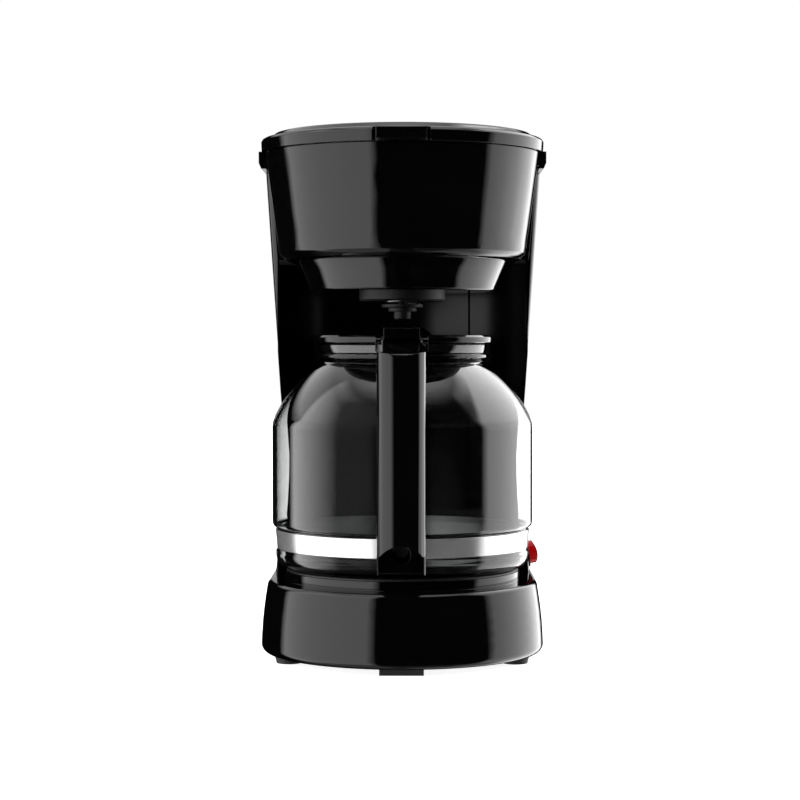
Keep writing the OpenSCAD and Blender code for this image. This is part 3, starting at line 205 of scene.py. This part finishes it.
def make_world():
    """A dark studio with soft panels at its sides, behind and above, and a white sweep behind."""
    world = bpy.data.worlds.new("studio")
    bpy.context.scene.world = world
    world.use_nodes = True
    tree = world.node_tree
    tree.nodes.clear()
    out = tree.nodes.new("ShaderNodeOutputWorld")
    back = tree.nodes.new("ShaderNodeBackground")
    path = tree.nodes.new("ShaderNodeLightPath").outputs
    split = tree.nodes.new("ShaderNodeSeparateXYZ")
    tree.links.new(tree.nodes.new("ShaderNodeTexCoord").outputs["Generated"], split.inputs[0])
    depth, height = split.outputs["Y"], split.outputs["Z"]
    azimuth = azimuth_of(tree, split.outputs["X"], math_node(tree, "MULTIPLY", depth, -1.0))

    left = panel(tree, azimuth, height, *LEFT_PANEL)
    right = panel(tree, azimuth, height, *RIGHT_PANEL)
    behind = chain(tree, "MULTIPLY", ramp(tree, height, *BACK_PANEL_HEIGHT),
                   ramp(tree, depth, *BACK_PANEL_DEPTH))
    overhead = chain(tree, "MULTIPLY", ramp(tree, height, *OVERHEAD_EDGE),
                     ramp(tree, height, *OVERHEAD_LEVEL))
    lit = chain(tree, "MAXIMUM", math_node(tree, "ADD", left, right), behind, overhead,
                ramp(tree, height, *FLOOR_GLOW))
    lit = math_node(tree, "ADD", lit, AMBIENT)
    # What is seen through the carafe stays calm: the panels hardly show in the walls behind it
    through = math_node(tree, "MINIMUM", path["Transmission Depth"], 1.0)
    lit = math_node(tree, "MULTIPLY", lit, ramp(tree, through, 0, 1, 1.0, BEHIND_GLASS))

    mirrored = chain(tree, "MULTIPLY", path["Is Glossy Ray"], ramp(tree, depth, *MIRRORED_SWEEP),
                     ramp(tree, through, 0, 1, 1.0, 0.0))
    passed = chain(tree, "MULTIPLY", path["Is Transmission Ray"],
                   ramp(tree, depth, *PASSED_SWEEP))
    white = chain(tree, "MAXIMUM", path["Is Camera Ray"], mirrored, passed)
    dark = math_node(tree, "SUBTRACT", 1.0, white)
    total = math_node(tree, "ADD", math_node(tree, "MULTIPLY", lit, dark), white)
    back.inputs["Color"].default_value = (1, 1, 1, 1)
    tree.links.new(total, back.inputs["Strength"])
    tree.links.new(back.outputs[0], out.inputs[0])


FLOOR_R = 4.0
FLOOR_Z = -0.2 * MM
FLOOR_CORNERS = 96
FLOOR_LIFT = 0.9
FLOOR_PALE = (0.85, 0.85, 0.85)
FLOOR_MIRRORED = (0.02, 0.02, 0.02)


def make_floor():
    """A pale disc, lifted towards white where it is seen, that keeps the object's shadow."""
    bpy.ops.object.select_all(action="DESELECT")
    bpy.ops.mesh.primitive_circle_add(vertices=FLOOR_CORNERS, radius=FLOOR_R, fill_type="NGON",
                                      location=(0, 0, FLOOR_Z))
    floor = bpy.context.object
    floor.name = "floor"
    mat = bpy.data.materials.new("pale_floor")
    mat.use_nodes = True
    tree = mat.node_tree
    tree.nodes.clear()
    out = tree.nodes.new("ShaderNodeOutputMaterial")
    paint = tree.nodes.new("ShaderNodeBsdfDiffuse")
    lift = tree.nodes.new("ShaderNodeEmission")
    add = tree.nodes.new("ShaderNodeAddShader")
    path = tree.nodes.new("ShaderNodeLightPath").outputs
    # Seen straight or through glass the floor is white; in mirror images it stays out of the way
    seen = math_node(tree, "MAXIMUM", path["Is Camera Ray"], path["Is Transmission Ray"])
    straight = math_node(tree, "LESS_THAN", path["Glossy Depth"], 0.5)
    tree.links.new(chain(tree, "MULTIPLY", seen, straight, FLOOR_LIFT), lift.inputs["Strength"])
    tree.links.new(between(tree, straight, FLOOR_MIRRORED, FLOOR_PALE), paint.inputs["Color"])
    tree.links.new(paint.outputs[0], add.inputs[0])
    tree.links.new(lift.outputs[0], add.inputs[1])
    tree.links.new(add.outputs[0], out.inputs[0])
    floor.data.materials.append(mat)
    floor.visible_glossy = False


# ---------------------------------------------------------------- skins
SKIN_INPUTS = ("Roughness", "Spread", "Grain")
SKIN_OUTPUTS = ("Roughness", "Height")


def empty_skin(name):
    """A group that is given a roughness, how far it wanders and a scale of grain."""
    tree = bpy.data.node_groups.new(name, "ShaderNodeTree")
    for labels, way in ((SKIN_INPUTS, "INPUT"), (SKIN_OUTPUTS, "OUTPUT")):
        for label in labels:
            tree.interface.new_socket(name=label, in_out=way, socket_type="NodeSocketFloat")
    return tree, tree.nodes.new("NodeGroupInput").outputs, tree.nodes.new("NodeGroupOutput").inputs


# Moulded plastic: scale and detail of its flow and handling marks, and their shares
FLOW = (14.0, 2.0)
MARKS = (60.0, 5.0)
WORN = (0.5, 0.75)
FLOW_SHARE = 0.6
WORN_SHARE = 0.4
FLOW_HEIGHT = 0.5


def moulded_skin():
    """Moulded plastic: a fine texture, slow flow marks and handling marks."""
    tree, given, result = empty_skin("moulded_skin")
    place = tree.nodes.new("ShaderNodeTexCoord").outputs["Object"]
    fine = noise(tree, place, given["Grain"], 4.0)
    flow = noise(tree, place, *FLOW)
    worn = ramp(tree, noise(tree, place, *MARKS), *WORN)
    wander = math_node(tree, "ADD", math_node(tree, "MULTIPLY", flow, FLOW_SHARE),
                       math_node(tree, "MULTIPLY", worn, WORN_SHARE))
    centred = math_node(tree, "SUBTRACT", wander, WORN_SHARE)
    spread = math_node(tree, "MULTIPLY", centred, given["Spread"])
    tree.links.new(math_node(tree, "ADD", given["Roughness"], spread), result["Roughness"])
    height = math_node(tree, "ADD", fine, math_node(tree, "MULTIPLY", flow, FLOW_HEIGHT))
    tree.links.new(height, result["Height"])
    return tree


STREAK_SQUEEZE = (0.02, 0.02, 1.0)


def brushed_grain():
    """Drawn metal: level streaks."""
    tree, given, result = empty_skin("brushed_grain")
    squeeze = tree.nodes.new("ShaderNodeMapping")
    squeeze.inputs["Scale"].default_value = STREAK_SQUEEZE
    place = tree.nodes.new("ShaderNodeTexCoord").outputs["Object"]
    tree.links.new(place, squeeze.inputs["Vector"])
    streaks = noise(tree, squeeze.outputs["Vector"], given["Grain"], 2.0)
    spread = math_node(tree, "MULTIPLY", math_node(tree, "SUBTRACT", streaks, 0.5), given["Spread"])
    tree.links.new(math_node(tree, "ADD", given["Roughness"], spread), result["Roughness"])
    tree.links.new(streaks, result["Height"])
    return tree


# ---------------------------------------------------------------- finishes
def principled(name):
    mat = bpy.data.materials.new(name)
    mat.use_nodes = True
    return mat, mat.node_tree, mat.node_tree.nodes["Principled BSDF"]


# The drift of a base colour: scale and detail, the part of it that shows, and its two ends
DRIFT = (25.0, 3.0)
DRIFT_SHOWN = (0.3, 0.7)
DRIFT_DARK = 0.8
DRIFT_PALE = 1.25
EDGE_SAMPLES = 6


def skinned(name, skin, colour, roughness, spread, grain, depth,
            metallic=0.0, edge=0.0, specular=0.5):
    """A finish from one of the skins: colour drift, roughness, bump and softened sharp edges."""
    mat, tree, bsdf = principled(name)
    surface = tree.nodes.new("ShaderNodeGroup")
    surface.node_tree = skin
    for label, value in zip(SKIN_INPUTS, (roughness, spread, grain)):
        surface.inputs[label].default_value = value
    place = tree.nodes.new("ShaderNodeTexCoord").outputs["Object"]
    drift = ramp(tree, noise(tree, place, *DRIFT), *DRIFT_SHOWN)
    tint = between(tree, drift, [c * DRIFT_DARK for c in colour],
                   [min(1.0, c * DRIFT_PALE) for c in colour])
    tree.links.new(tint, bsdf.inputs["Base Color"])
    tree.links.new(surface.outputs["Roughness"], bsdf.inputs["Roughness"])
    bump = tree.nodes.new("ShaderNodeBump")
    bump.inputs["Strength"].default_value = 1.0
    bump.inputs["Distance"].default_value = depth
    tree.links.new(surface.outputs["Height"], bump.inputs["Height"])
    if edge:
        soften = tree.nodes.new("ShaderNodeBevel")
        soften.samples = EDGE_SAMPLES
        soften.inputs["Radius"].default_value = edge
        tree.links.new(soften.outputs["Normal"], bump.inputs["Normal"])
    tree.links.new(bump.outputs["Normal"], bsdf.inputs["Normal"])
    bsdf.inputs["Metallic"].default_value = metallic
    bsdf.inputs["Specular IOR Level"].default_value = specular
    return mat


# A painted reflection on the bowl's front, laid on as a clear coat: thin at the middle, thicker at
# its sides (degrees) and on the shoulder (heights), and none behind the axis (metres ahead of it)
GLASS_IOR = 1.2
PAINTED_REFLECTION_IOR = 2.3
PAINTED_REFLECTION_LEFT = (-28, -60, 0.0, 1.0)
PAINTED_REFLECTION_RIGHT = (34, 37, 0.0, 0.5)
PAINTED_REFLECTION_SHOULDER = (0.147, 0.170, 0.0, 0.6)
PAINTED_REFLECTION_AHEAD = (0.0, 0.02)
# Its colour drifts between two tints in slow waves, and drying marks roughen it here and there
GLASS_TINTS = ((0.97, 0.985, 0.98), (0.99, 1.0, 0.995))
GLASS_WAVES = (18.0, 1.0)
WAVE_DEPTH = 0.00004
DRYING_MARKS = (90.0, 4.0)
MARKS_ROUGHNESS = (0.62, 0.8, 0.0, 0.03)


def clear_glass():
    """Borosilicate glass: faintly green, with slow waves from blowing, a few drying marks, and a
    coat of painted reflection on its front sides and shoulder.
    """
    mat, tree, bsdf = principled("borosilicate_glass")
    bsdf.inputs["Transmission Weight"].default_value = 1.0
    bsdf.inputs["IOR"].default_value = GLASS_IOR
    bsdf.inputs["Coat IOR"].default_value = PAINTED_REFLECTION_IOR
    place = tree.nodes.new("ShaderNodeTexCoord").outputs["Object"]
    split = tree.nodes.new("ShaderNodeSeparateXYZ")
    tree.links.new(place, split.inputs[0])
    ahead = math_node(tree, "SUBTRACT", AXIS_Y, split.outputs["Y"])
    turn = azimuth_of(tree, split.outputs["X"], ahead)
    # Coat weight set by place on the bowl is a painted reflection: stronger gloss at its sides and
    # shoulder
    painted_reflection = chain(tree, "MAXIMUM", ramp(tree, turn, *PAINTED_REFLECTION_LEFT), ramp(tree, turn, *PAINTED_REFLECTION_RIGHT),
                  ramp(tree, split.outputs["Z"], *PAINTED_REFLECTION_SHOULDER))
    painted_reflection = math_node(tree, "MULTIPLY", painted_reflection, ramp(tree, ahead, *PAINTED_REFLECTION_AHEAD))
    tree.links.new(painted_reflection, bsdf.inputs["Coat Weight"])
    waves = noise(tree, place, *GLASS_WAVES)
    marks = noise(tree, place, *DRYING_MARKS)
    tree.links.new(between(tree, waves, *GLASS_TINTS), bsdf.inputs["Base Color"])
    tree.links.new(ramp(tree, marks, *MARKS_ROUGHNESS), bsdf.inputs["Roughness"])
    bump = tree.nodes.new("ShaderNodeBump")
    bump.inputs["Distance"].default_value = WAVE_DEPTH
    tree.links.new(waves, bump.inputs["Height"])
    tree.links.new(bump.outputs["Normal"], bsdf.inputs["Normal"])
    return mat


# ---------------------------------------------------------------- modelling
def settle(piece, name, body, mat, stands_for):
    """Gives a finished piece its name, finish and body, and the nodes that it stands for."""
    piece.name = name
    piece.data.name = name
    piece.data.materials.clear()
    piece.data.materials.append(mat)
    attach(piece, body)
    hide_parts(*stands_for)
    return piece


def only(piece):
    """Makes a piece the only selected one, and the active one."""
    bpy.ops.object.select_all(action="DESELECT")
    piece.select_set(True)
    bpy.context.view_layer.objects.active = piece


BROAD_FACE_WEIGHT = 80


def smooth(piece, angle=35):
    """Smooth shading that keeps sharp edges and lets the broad faces set the direction."""
    only(piece)
    bpy.ops.object.shade_smooth_by_angle(angle=math.radians(angle))
    tool = piece.modifiers.new("even", "WEIGHTED_NORMAL")
    tool.keep_sharp = True
    tool.weight = BROAD_FACE_WEIGHT
    bpy.ops.object.modifier_apply(modifier=tool.name)


def ease(piece, width, segments=2, angle=32):
    """Rounds every edge sharper than an angle in degrees."""
    only(piece)
    tool = piece.modifiers.new("ease", "BEVEL")
    tool.width = width
    tool.segments = segments
    tool.limit_method = "ANGLE"
    tool.angle_limit = math.radians(angle)
    tool.use_clamp_overlap = True
    bpy.ops.object.modifier_apply(modifier=tool.name)


JOIN_WITHIN = 0.000002
FLAT_WITHIN = math.radians(0.02)


def merged_copy(node):
    """A copy of a CAD node with its loose triangles joined and its flat faces made whole."""
    only(nodes[node])
    bpy.ops.object.duplicate()
    piece = bpy.context.object
    bpy.ops.object.mode_set(mode="EDIT")
    bpy.ops.mesh.select_all(action="SELECT")
    bpy.ops.mesh.remove_doubles(threshold=JOIN_WITHIN)
    bpy.ops.mesh.dissolve_limited(angle_limit=FLAT_WITHIN)
    bpy.ops.object.mode_set(mode="OBJECT")
    return piece


LATHE_STEPS = 160
LATHE_JOIN = 0.000005


def lathe(points):
    """A profile of (radius, height) points, drawn by extrusion and spun round the carafe's axis."""
    bpy.ops.object.select_all(action="DESELECT")
    radius, height = points[0]
    bpy.ops.mesh.primitive_plane_add(size=MM, location=(radius, AXIS_Y, height))
    piece = bpy.context.object
    bpy.ops.object.transform_apply(location=True, rotation=True, scale=True)
    bpy.ops.object.mode_set(mode="EDIT")
    bpy.ops.mesh.select_mode(type="VERT")
    bpy.ops.mesh.select_all(action="SELECT")
    bpy.ops.mesh.merge(type="CENTER")
    for here, after in zip(points, points[1:]):
        step = (after[0] - here[0], 0, after[1] - here[1])
        bpy.ops.mesh.extrude_region_move(TRANSFORM_OT_translate={"value": step})
    bpy.ops.mesh.select_all(action="SELECT")
    bpy.ops.mesh.spin(steps=LATHE_STEPS, angle=2 * math.pi, center=(0, AXIS_Y, 0), axis=(0, 0, 1))
    bpy.ops.mesh.select_all(action="SELECT")
    bpy.ops.mesh.remove_doubles(threshold=LATHE_JOIN)
    bpy.ops.mesh.normals_make_consistent(inside=False)
    bpy.ops.object.mode_set(mode="OBJECT")
    return piece


def arc(centre_r, centre_z, radius, start, end, steps):
    """Points of an arc in a profile, from one angle to another in degrees."""
    turns = [math.radians(start + (end - start) * i / steps) for i in range(steps + 1)]
    return [(centre_r + radius * math.cos(t), centre_z + radius * math.sin(t)) for t in turns]


def pick_edges(piece, wanted):
    """Selects the edges that pass a test on their two ends, in edge mode."""
    bpy.ops.object.mode_set(mode="EDIT")
    bpy.ops.mesh.select_mode(type="EDGE")
    bpy.ops.mesh.select_all(action="DESELECT")
    mesh = bmesh.from_edit_mesh(piece.data)
    for edge in mesh.edges:
        edge.select = wanted(edge.verts[0].co, edge.verts[1].co)
    mesh.select_flush_mode()
    bmesh.update_edit_mesh(piece.data)


# ---------------------------------------------------------------- pieces
def make_eased(node, body, mat, width, segments=2):
    """A CAD node's shape with its sharp moulded edges rounded."""
    piece = merged_copy(node)
    ease(piece, width, segments)
    smooth(piece)
    settle(piece, node + "_eased", body, mat, (node,))


TOWER_FILLET = 5 * MM
TOWER_FILLET_ROWS = 5
TOWER_EASE = 0.35 * MM
# A vertex this near the front plane, or the widest place of its level, belongs to it
TOWER_NEAR = 0.2 * MM
UPRIGHT_RISE = 0.5 * MM


def make_tower_side(node, mat):
    """A tower wall whose two front outer edges have the broad fillet of the real moulding."""
    low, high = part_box(node)
    front = low[1] + TOWER_NEAR
    piece = merged_copy(node)
    widest = {}
    for vertex in piece.data.vertices:
        level = round(vertex.co.z, 4)
        if vertex.co.y < front:
            widest[level] = max(abs(vertex.co.x), widest.get(level, 0.0))

    def outermost(point):
        return point.y < front and abs(point.x) > widest[round(point.z, 4)] - TOWER_NEAR

    def front_corner(a, b):
        return outermost(a) and outermost(b) and a.x * b.x > 0 and abs(a.z - b.z) > UPRIGHT_RISE

    pick_edges(piece, front_corner)
    bpy.ops.mesh.bevel(offset=TOWER_FILLET, offset_type="OFFSET", segments=TOWER_FILLET_ROWS,
                       profile=0.5)
    bpy.ops.object.mode_set(mode="OBJECT")
    # The fillet stays between the wall's own bottom and top
    for vertex in piece.data.vertices:
        vertex.co.z = min(max(vertex.co.z, low[2]), high[2])
    ease(piece, TOWER_EASE)
    smooth(piece)
    settle(piece, node + "_eased", "machine", mat, (node,))


# The head's wall: the path it follows, how far it stands outside it at its bottom and top, and
# the radius of its lower edge before and after
PATH_R = 70 * MM
HEAD_CENTRE_Y = AXIS_Y - 4 * MM
HEAD_LOW_OUT = 1 * MM
HEAD_TOP_OUT = 8.9 * MM
HEAD_H = 62 * MM
HEAD_WALL_NEAR = 0.5 * MM
OLD_ROLL_R = 4.6 * MM
ROLL_R = 8 * MM
ROLL_ROWS = 7
ROLL_CROWDING = 1.5


def make_brew_head(mat):
    """The brew head's housing, its lower edge rolled under in one broad curve."""
    head_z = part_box("brew_housing")[0][2]
    piece = merged_copy("brew_housing")
    bpy.ops.object.mode_set(mode="EDIT")
    for row in range(1, ROLL_ROWS + 1):
        bpy.ops.mesh.select_all(action="SELECT")
        cut = (0, 0, head_z + ROLL_R * (row / ROLL_ROWS) ** ROLL_CROWDING)
        bpy.ops.mesh.bisect(plane_co=cut, plane_no=(0, 0, 1))
    bpy.ops.object.mode_set(mode="OBJECT")
    for vertex in piece.data.vertices:
        here = vertex.co
        height = here.z - head_z
        ahead = min(0.0, here.y - HEAD_CENTRE_Y)
        reach = math.hypot(here.x, ahead)
        wall = PATH_R + HEAD_LOW_OUT + (HEAD_TOP_OUT - HEAD_LOW_OUT) * height / HEAD_H
        old_inset = max(0.0, OLD_ROLL_R - height)
        if height > ROLL_R or reach < wall - old_inset - HEAD_WALL_NEAR:
            continue
        inset = ROLL_R - math.sqrt(max(0.0, ROLL_R ** 2 - (ROLL_R - height) ** 2))
        pull = (wall - inset) / reach
        here.x *= pull
        if ahead < 0:
            here.y = HEAD_CENTRE_Y + ahead * pull
    ease(piece, 0.5 * MM, angle=40)
    smooth(piece, 40)
    settle(piece, "brew_head", "machine", mat, ("brew_housing",))


# The grip's section, the rows in millimetres that it is cut in, and the level of its top
GRIP_HALF = 13.15 * MM
GRIP_FACE = 6 * MM
GRIP_FRONT_R = 22 * MM
GRIP_CUTS = (3, 6, 7, 8, 9, 10, 11, 11.8, 12.4, 12.8, 13.05)
GRIP_TOP_DEPTH = 9.3 * MM
GRIP_TOP_Z = 0.1755
GRIP_TOP_RISE = 0.2
# The arched recess at its foot: half its width as cut and as widened, its height and its depth
ARCH_HALF = 11.4 * MM
ARCH_WIDE = 12.3 * MM
ARCH_SIDE_H = 10 * MM
ARCH_DEPTH = 13 * MM
ARCH_NEAR = 0.02 * MM


def grip_setback(x):
    """How far the grip stands back from its foremost line: a broad face turning into the sides."""
    reach = min(abs(x), GRIP_HALF)
    face = min(reach, GRIP_FACE)
    lean = GRIP_FACE / GRIP_FRONT_R
    corner_r = (GRIP_HALF - GRIP_FACE) / (1 - lean)
    turned = lean + (reach - face) / corner_r
    back = GRIP_FRONT_R - math.sqrt(GRIP_FRONT_R ** 2 - face ** 2)
    return back + corner_r * (math.sqrt(1 - lean ** 2) - math.sqrt(max(0.0, 1 - turned ** 2)))


def make_handle(mat):
    """The carafe's handle, its grip rounded in section and nearly level at its top."""
    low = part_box("carafe_handle")[0]
    piece = merged_copy("carafe_handle")
    bpy.ops.object.mode_set(mode="EDIT")
    for place in GRIP_CUTS:
        for side in (-1, 1):
            bpy.ops.mesh.select_all(action="SELECT")
            bpy.ops.mesh.bisect(plane_co=(side * place * MM, 0, 0), plane_no=(1, 0, 0))
    bpy.ops.object.mode_set(mode="OBJECT")
    for vertex in piece.data.vertices:
        here = vertex.co
        if here.y < low.y + GRIP_TOP_DEPTH and here.z > GRIP_TOP_Z:
            here.z = GRIP_TOP_Z + GRIP_TOP_RISE * (here.z - GRIP_TOP_Z)
        in_arch = here.z < low.z + ARCH_SIDE_H and here.y < low.y + ARCH_DEPTH
        if in_arch and abs(here.x) > ARCH_HALF - ARCH_NEAR:
            spread = (abs(here.x) - ARCH_HALF) / (GRIP_HALF - ARCH_HALF)
            here.x = math.copysign(ARCH_WIDE + spread * (GRIP_HALF - ARCH_WIDE), here.x)
        here.y = max(here.y, low.y + grip_setback(here.x))
    ease(piece, 0.6 * MM, 3)
    smooth(piece)
    settle(piece, "pouring_handle", "carafe", mat, ("carafe_handle",))


# The carafe's wall, and the corner at its foot
NECK_R = 49 * MM
GLASS_T = 2.3 * MM
FOOT_R = 8 * MM
FOOT_AT = (BAND_R - 8.2 * MM, GLASS_Z + FOOT_R)
SOLE_Z = GLASS_Z + 1.6 * MM
SOLE_R = 50 * MM
# The groove that the band lies in, and the wall's return above it
GROOVE_R = BAND_R - 0.9 * MM
RETURN_R = 4 * MM
RETURN_Z = BAND_TOP + 4.2 * MM
# The shoulder: a tight turn off the upright wall, then a broad slope up to the neck
SHOULDER_Z = RIM_Z - 48 * MM
TURN_R = 12 * MM
TURN = 24
TURN_ROWS = 6
SLOPE_R = 85 * MM
SLOPE_ROWS = 16
# The collar's groove in the neck
NECK_LOW = RIM_Z - 8.6 * MM
COLLAR_R = NECK_R - 1.8 * MM


def glass_profile():
    """The closed section of the carafe's wall: outside from the foot up, rolled rim, and inside."""
    wide_r = GLASS_R - TURN_R
    knee = math.radians(TURN)
    slope_at = (wide_r + TURN_R * math.cos(knee) - SLOPE_R * math.cos(knee),
                SHOULDER_Z + TURN_R * math.sin(knee) - SLOPE_R * math.sin(knee))
    outside = [(0.0, SOLE_Z), (SOLE_R, SOLE_Z), (54 * MM, GLASS_Z + 1.0 * MM), (58 * MM, GLASS_Z)]
    outside += arc(*FOOT_AT, FOOT_R, -75, 0, 10)
    outside += [(BAND_R - 0.2 * MM, BAND_Z - 1.2 * MM), (GROOVE_R, BAND_Z - 0.6 * MM)]
    outside += [(GROOVE_R, BAND_TOP + 0.6 * MM)]
    outside += arc(GLASS_R - RETURN_R, RETURN_Z, RETURN_R, -35, 0, 5)
    outside += arc(wide_r, SHOULDER_Z, TURN_R, 0, TURN - 2, TURN_ROWS)
    outside += arc(*slope_at, SLOPE_R, TURN, 52.5, SLOPE_ROWS)
    outside += [(COLLAR_R + 1.2 * MM, NECK_LOW - 0.5 * MM), (COLLAR_R, NECK_LOW + 0.3 * MM)]
    outside += [(COLLAR_R, NECK_LOW + 2.5 * MM), (NECK_R - 0.4 * MM, NECK_LOW + 3.5 * MM)]
    lip = arc(NECK_R - GLASS_T / 2, RIM_Z - GLASS_T / 2, GLASS_T / 2, 0, 180, 8)
    inside = [(NECK_R - GLASS_T - 0.4 * MM, NECK_LOW + 3.5 * MM)]
    inside += [(COLLAR_R - GLASS_T, NECK_LOW + 2.4 * MM), (COLLAR_R - GLASS_T, NECK_LOW)]
    inside += [(COLLAR_R - 0.4 * MM, NECK_LOW - 2.2 * MM)]
    inside += arc(*slope_at, SLOPE_R - GLASS_T, 51.5, TURN, SLOPE_ROWS)
    inside += arc(wide_r, SHOULDER_Z, TURN_R - GLASS_T, TURN - 2, 0, TURN_ROWS)
    inside += [(GLASS_R - GLASS_T, RETURN_Z), (GROOVE_R - GLASS_T, BAND_TOP)]
    inside += [(GROOVE_R - GLASS_T, BAND_Z)]
    inside += arc(*FOOT_AT, FOOT_R - GLASS_T, 0, -75, 8)
    inside += [(56 * MM, GLASS_Z + GLASS_T + 0.6 * MM), (SOLE_R, SOLE_Z + GLASS_T)]
    inside += [(0.0, SOLE_Z + GLASS_T)]
    return outside + lip + inside


def make_carafe_glass(mat):
    piece = lathe(glass_profile())
    smooth(piece, 50)
    settle(piece, "carafe_bowl", "carafe", mat, ("carafe_glass",))


# The band's sheet, the roll of its edges, and how much narrower it is at its bottom
BAND_T = 0.6 * MM
BAND_ROLL = 0.5 * MM
BAND_LEAN = 0.9 * MM
BAND_INSET = 0.1 * MM


def make_steel_band(mat):
    """The drawn band round the glass, with both edges rolled in."""
    low_r = BAND_R - BAND_LEAN
    start = (low_r - BAND_T, BAND_Z + BAND_INSET)
    outer = [start] + arc(low_r - BAND_ROLL, BAND_Z + BAND_ROLL, BAND_ROLL, -90, 0, 4)
    outer += arc(BAND_R - BAND_ROLL, BAND_TOP - BAND_ROLL, BAND_ROLL, 0, 90, 4)
    outer += [(BAND_R - BAND_T, BAND_TOP - BAND_INSET), start]
    piece = lathe(outer)
    smooth(piece, 40)
    settle(piece, "steel_belt", "carafe", mat, ("steel_band",))


def make_rocker(mat):
    """The switch's rocker with soft edges."""
    piece = merged_copy("switch_rocker")
    ease(piece, 0.8 * MM, 3, 30)
    smooth(piece, 40)
    settle(piece, "rocker_cap", "rocker", mat, ("switch_rocker",))


def make_valve_spring(mat):
    """The drip stop's coil spring, given its own mesh; the real spring shortens as the valve below
    it is pushed up.
    """
    piece = merged_copy("valve_spring")
    smooth(piece, 60)
    settle(piece, "closing_spring", "basket", mat, ("valve_spring",))
    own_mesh(piece)


# ---------------------------------------------------------------- the whole
SKIN = moulded_skin()
GRAIN = brushed_grain()
BLACK = (0.0008, 0.0008, 0.0009)
# Finishes: skin, colour, roughness, how far it wanders, scale of the grain, depth of the bump in
# metres, and what only some of them have
FINISHES = {
    "gloss_black_plastic": (SKIN, BLACK, 0.06, 0.05, 420.0, 3e-6, {"edge": 0.6 * MM}),
    "recess_black_plastic": (SKIN, BLACK, 0.2, 0.05, 1400.0, 2e-6, {"specular": 0.25}),
    "satin_black_plastic": (SKIN, (0.004, 0.004, 0.0043), 0.33, 0.12, 900.0, 1e-5,
                            {"edge": 0.5 * MM}),
    "matte_black_plastic": (SKIN, (0.003, 0.003, 0.0032), 0.55, 0.1, 1400.0, 2e-5,
                            {"edge": 0.4 * MM}),
    "black_rubber": (SKIN, (0.02, 0.02, 0.02), 0.7, 0.15, 1500.0, 2e-5, {}),
    "warming_plate_coat": (SKIN, (0.015, 0.015, 0.016), 0.4, 0.15, 1200.0, 1e-5, {}),
    "white_plastic": (SKIN, (0.7, 0.69, 0.65), 0.4, 0.1, 700.0, 1e-5, {}),
    "silicone": (SKIN, (0.55, 0.53, 0.5), 0.5, 0.1, 500.0, 1e-5, {}),
    "tank_plastic": (SKIN, (0.12, 0.12, 0.125), 0.35, 0.1, 500.0, 1e-5, {}),
    "red_gloss": (SKIN, (0.6, 0.003, 0.004), 0.12, 0.06, 500.0, 4e-6, {}),
    "lead_jacket": (SKIN, (0.45, 0.02, 0.015), 0.5, 0.1, 900.0, 1e-5, {}),
    "rod_sheath": (SKIN, (0.08, 0.08, 0.085), 0.45, 0.2, 900.0, 1e-5, {"metallic": 0.7}),
    "polished_steel": (GRAIN, (0.78, 0.78, 0.78), 0.2, 0.08, 900.0, 4e-6, {"metallic": 0.85}),
    "zinc_steel": (GRAIN, (0.62, 0.63, 0.66), 0.3, 0.15, 1500.0, 5e-6, {"metallic": 1.0}),
    "aluminium_tube": (GRAIN, (0.7, 0.7, 0.71), 0.35, 0.15, 1200.0, 5e-6, {"metallic": 1.0}),
}
finish = {name: skinned(name, *row, **more) for name, (*row, more) in FINISHES.items()}
gloss_black = finish["gloss_black_plastic"]

BY_SLOT = {
    "black_plastic": gloss_black, "satin_plastic": finish["satin_black_plastic"],
    "dark_plastic": finish["satin_black_plastic"], "black_rubber": finish["black_rubber"],
    "coated_steel": finish["warming_plate_coat"], "white_plastic": finish["white_plastic"],
    "silicone": finish["silicone"], "tank_plastic": finish["tank_plastic"],
    "red_plastic": finish["red_gloss"], "lead_jacket": finish["lead_jacket"],
    "rod_sheath": finish["rod_sheath"], "polished_steel": finish["polished_steel"],
    "zinc_steel": finish["zinc_steel"], "spring_steel": finish["zinc_steel"],
    "aluminium_tube": finish["aluminium_tube"], "clear_glass": clear_glass(),
}
# Pieces that the slot would make satin or gloss, and that are matte
MATTE = ("brew_basket", "shower_head", "drip_valve", "lid_liner")


def dress(node, mat):
    for slot in nodes[node].material_slots:
        slot.material = mat


for part in frame["record"]["subparts"]:
    dress(part["node"], BY_SLOT[part["material_slot"]])
for name in MATTE:
    dress(name, finish["matte_black_plastic"])

for name in ("tower_lower", "tower_upper"):
    make_tower_side(name, gloss_black)
for name in ("base_housing", "funnel_housing", "top_frame"):
    make_eased(name, "machine", gloss_black, 0.5 * MM)
make_eased("tower_panel", "machine", finish["recess_black_plastic"], 0.4 * MM)
make_eased("lid", "top_lid", gloss_black, 0.5 * MM)
make_handle(gloss_black)
make_brew_head(gloss_black)
make_eased("carafe_lid", "pouring_lid", gloss_black, 0.6 * MM, 3)
make_eased("neck_collar", "carafe", gloss_black, 0.4 * MM)
make_carafe_glass(BY_SLOT["clear_glass"])
make_steel_band(finish["polished_steel"])
make_rocker(finish["red_gloss"])
make_valve_spring(finish["zinc_steel"])

make_camera()
make_world()
make_floor()
for name, azimuth in SOFTBOXES.items():
    make_softbox(name, azimuth)

bpy.context.scene.view_settings.view_transform = "Standard"
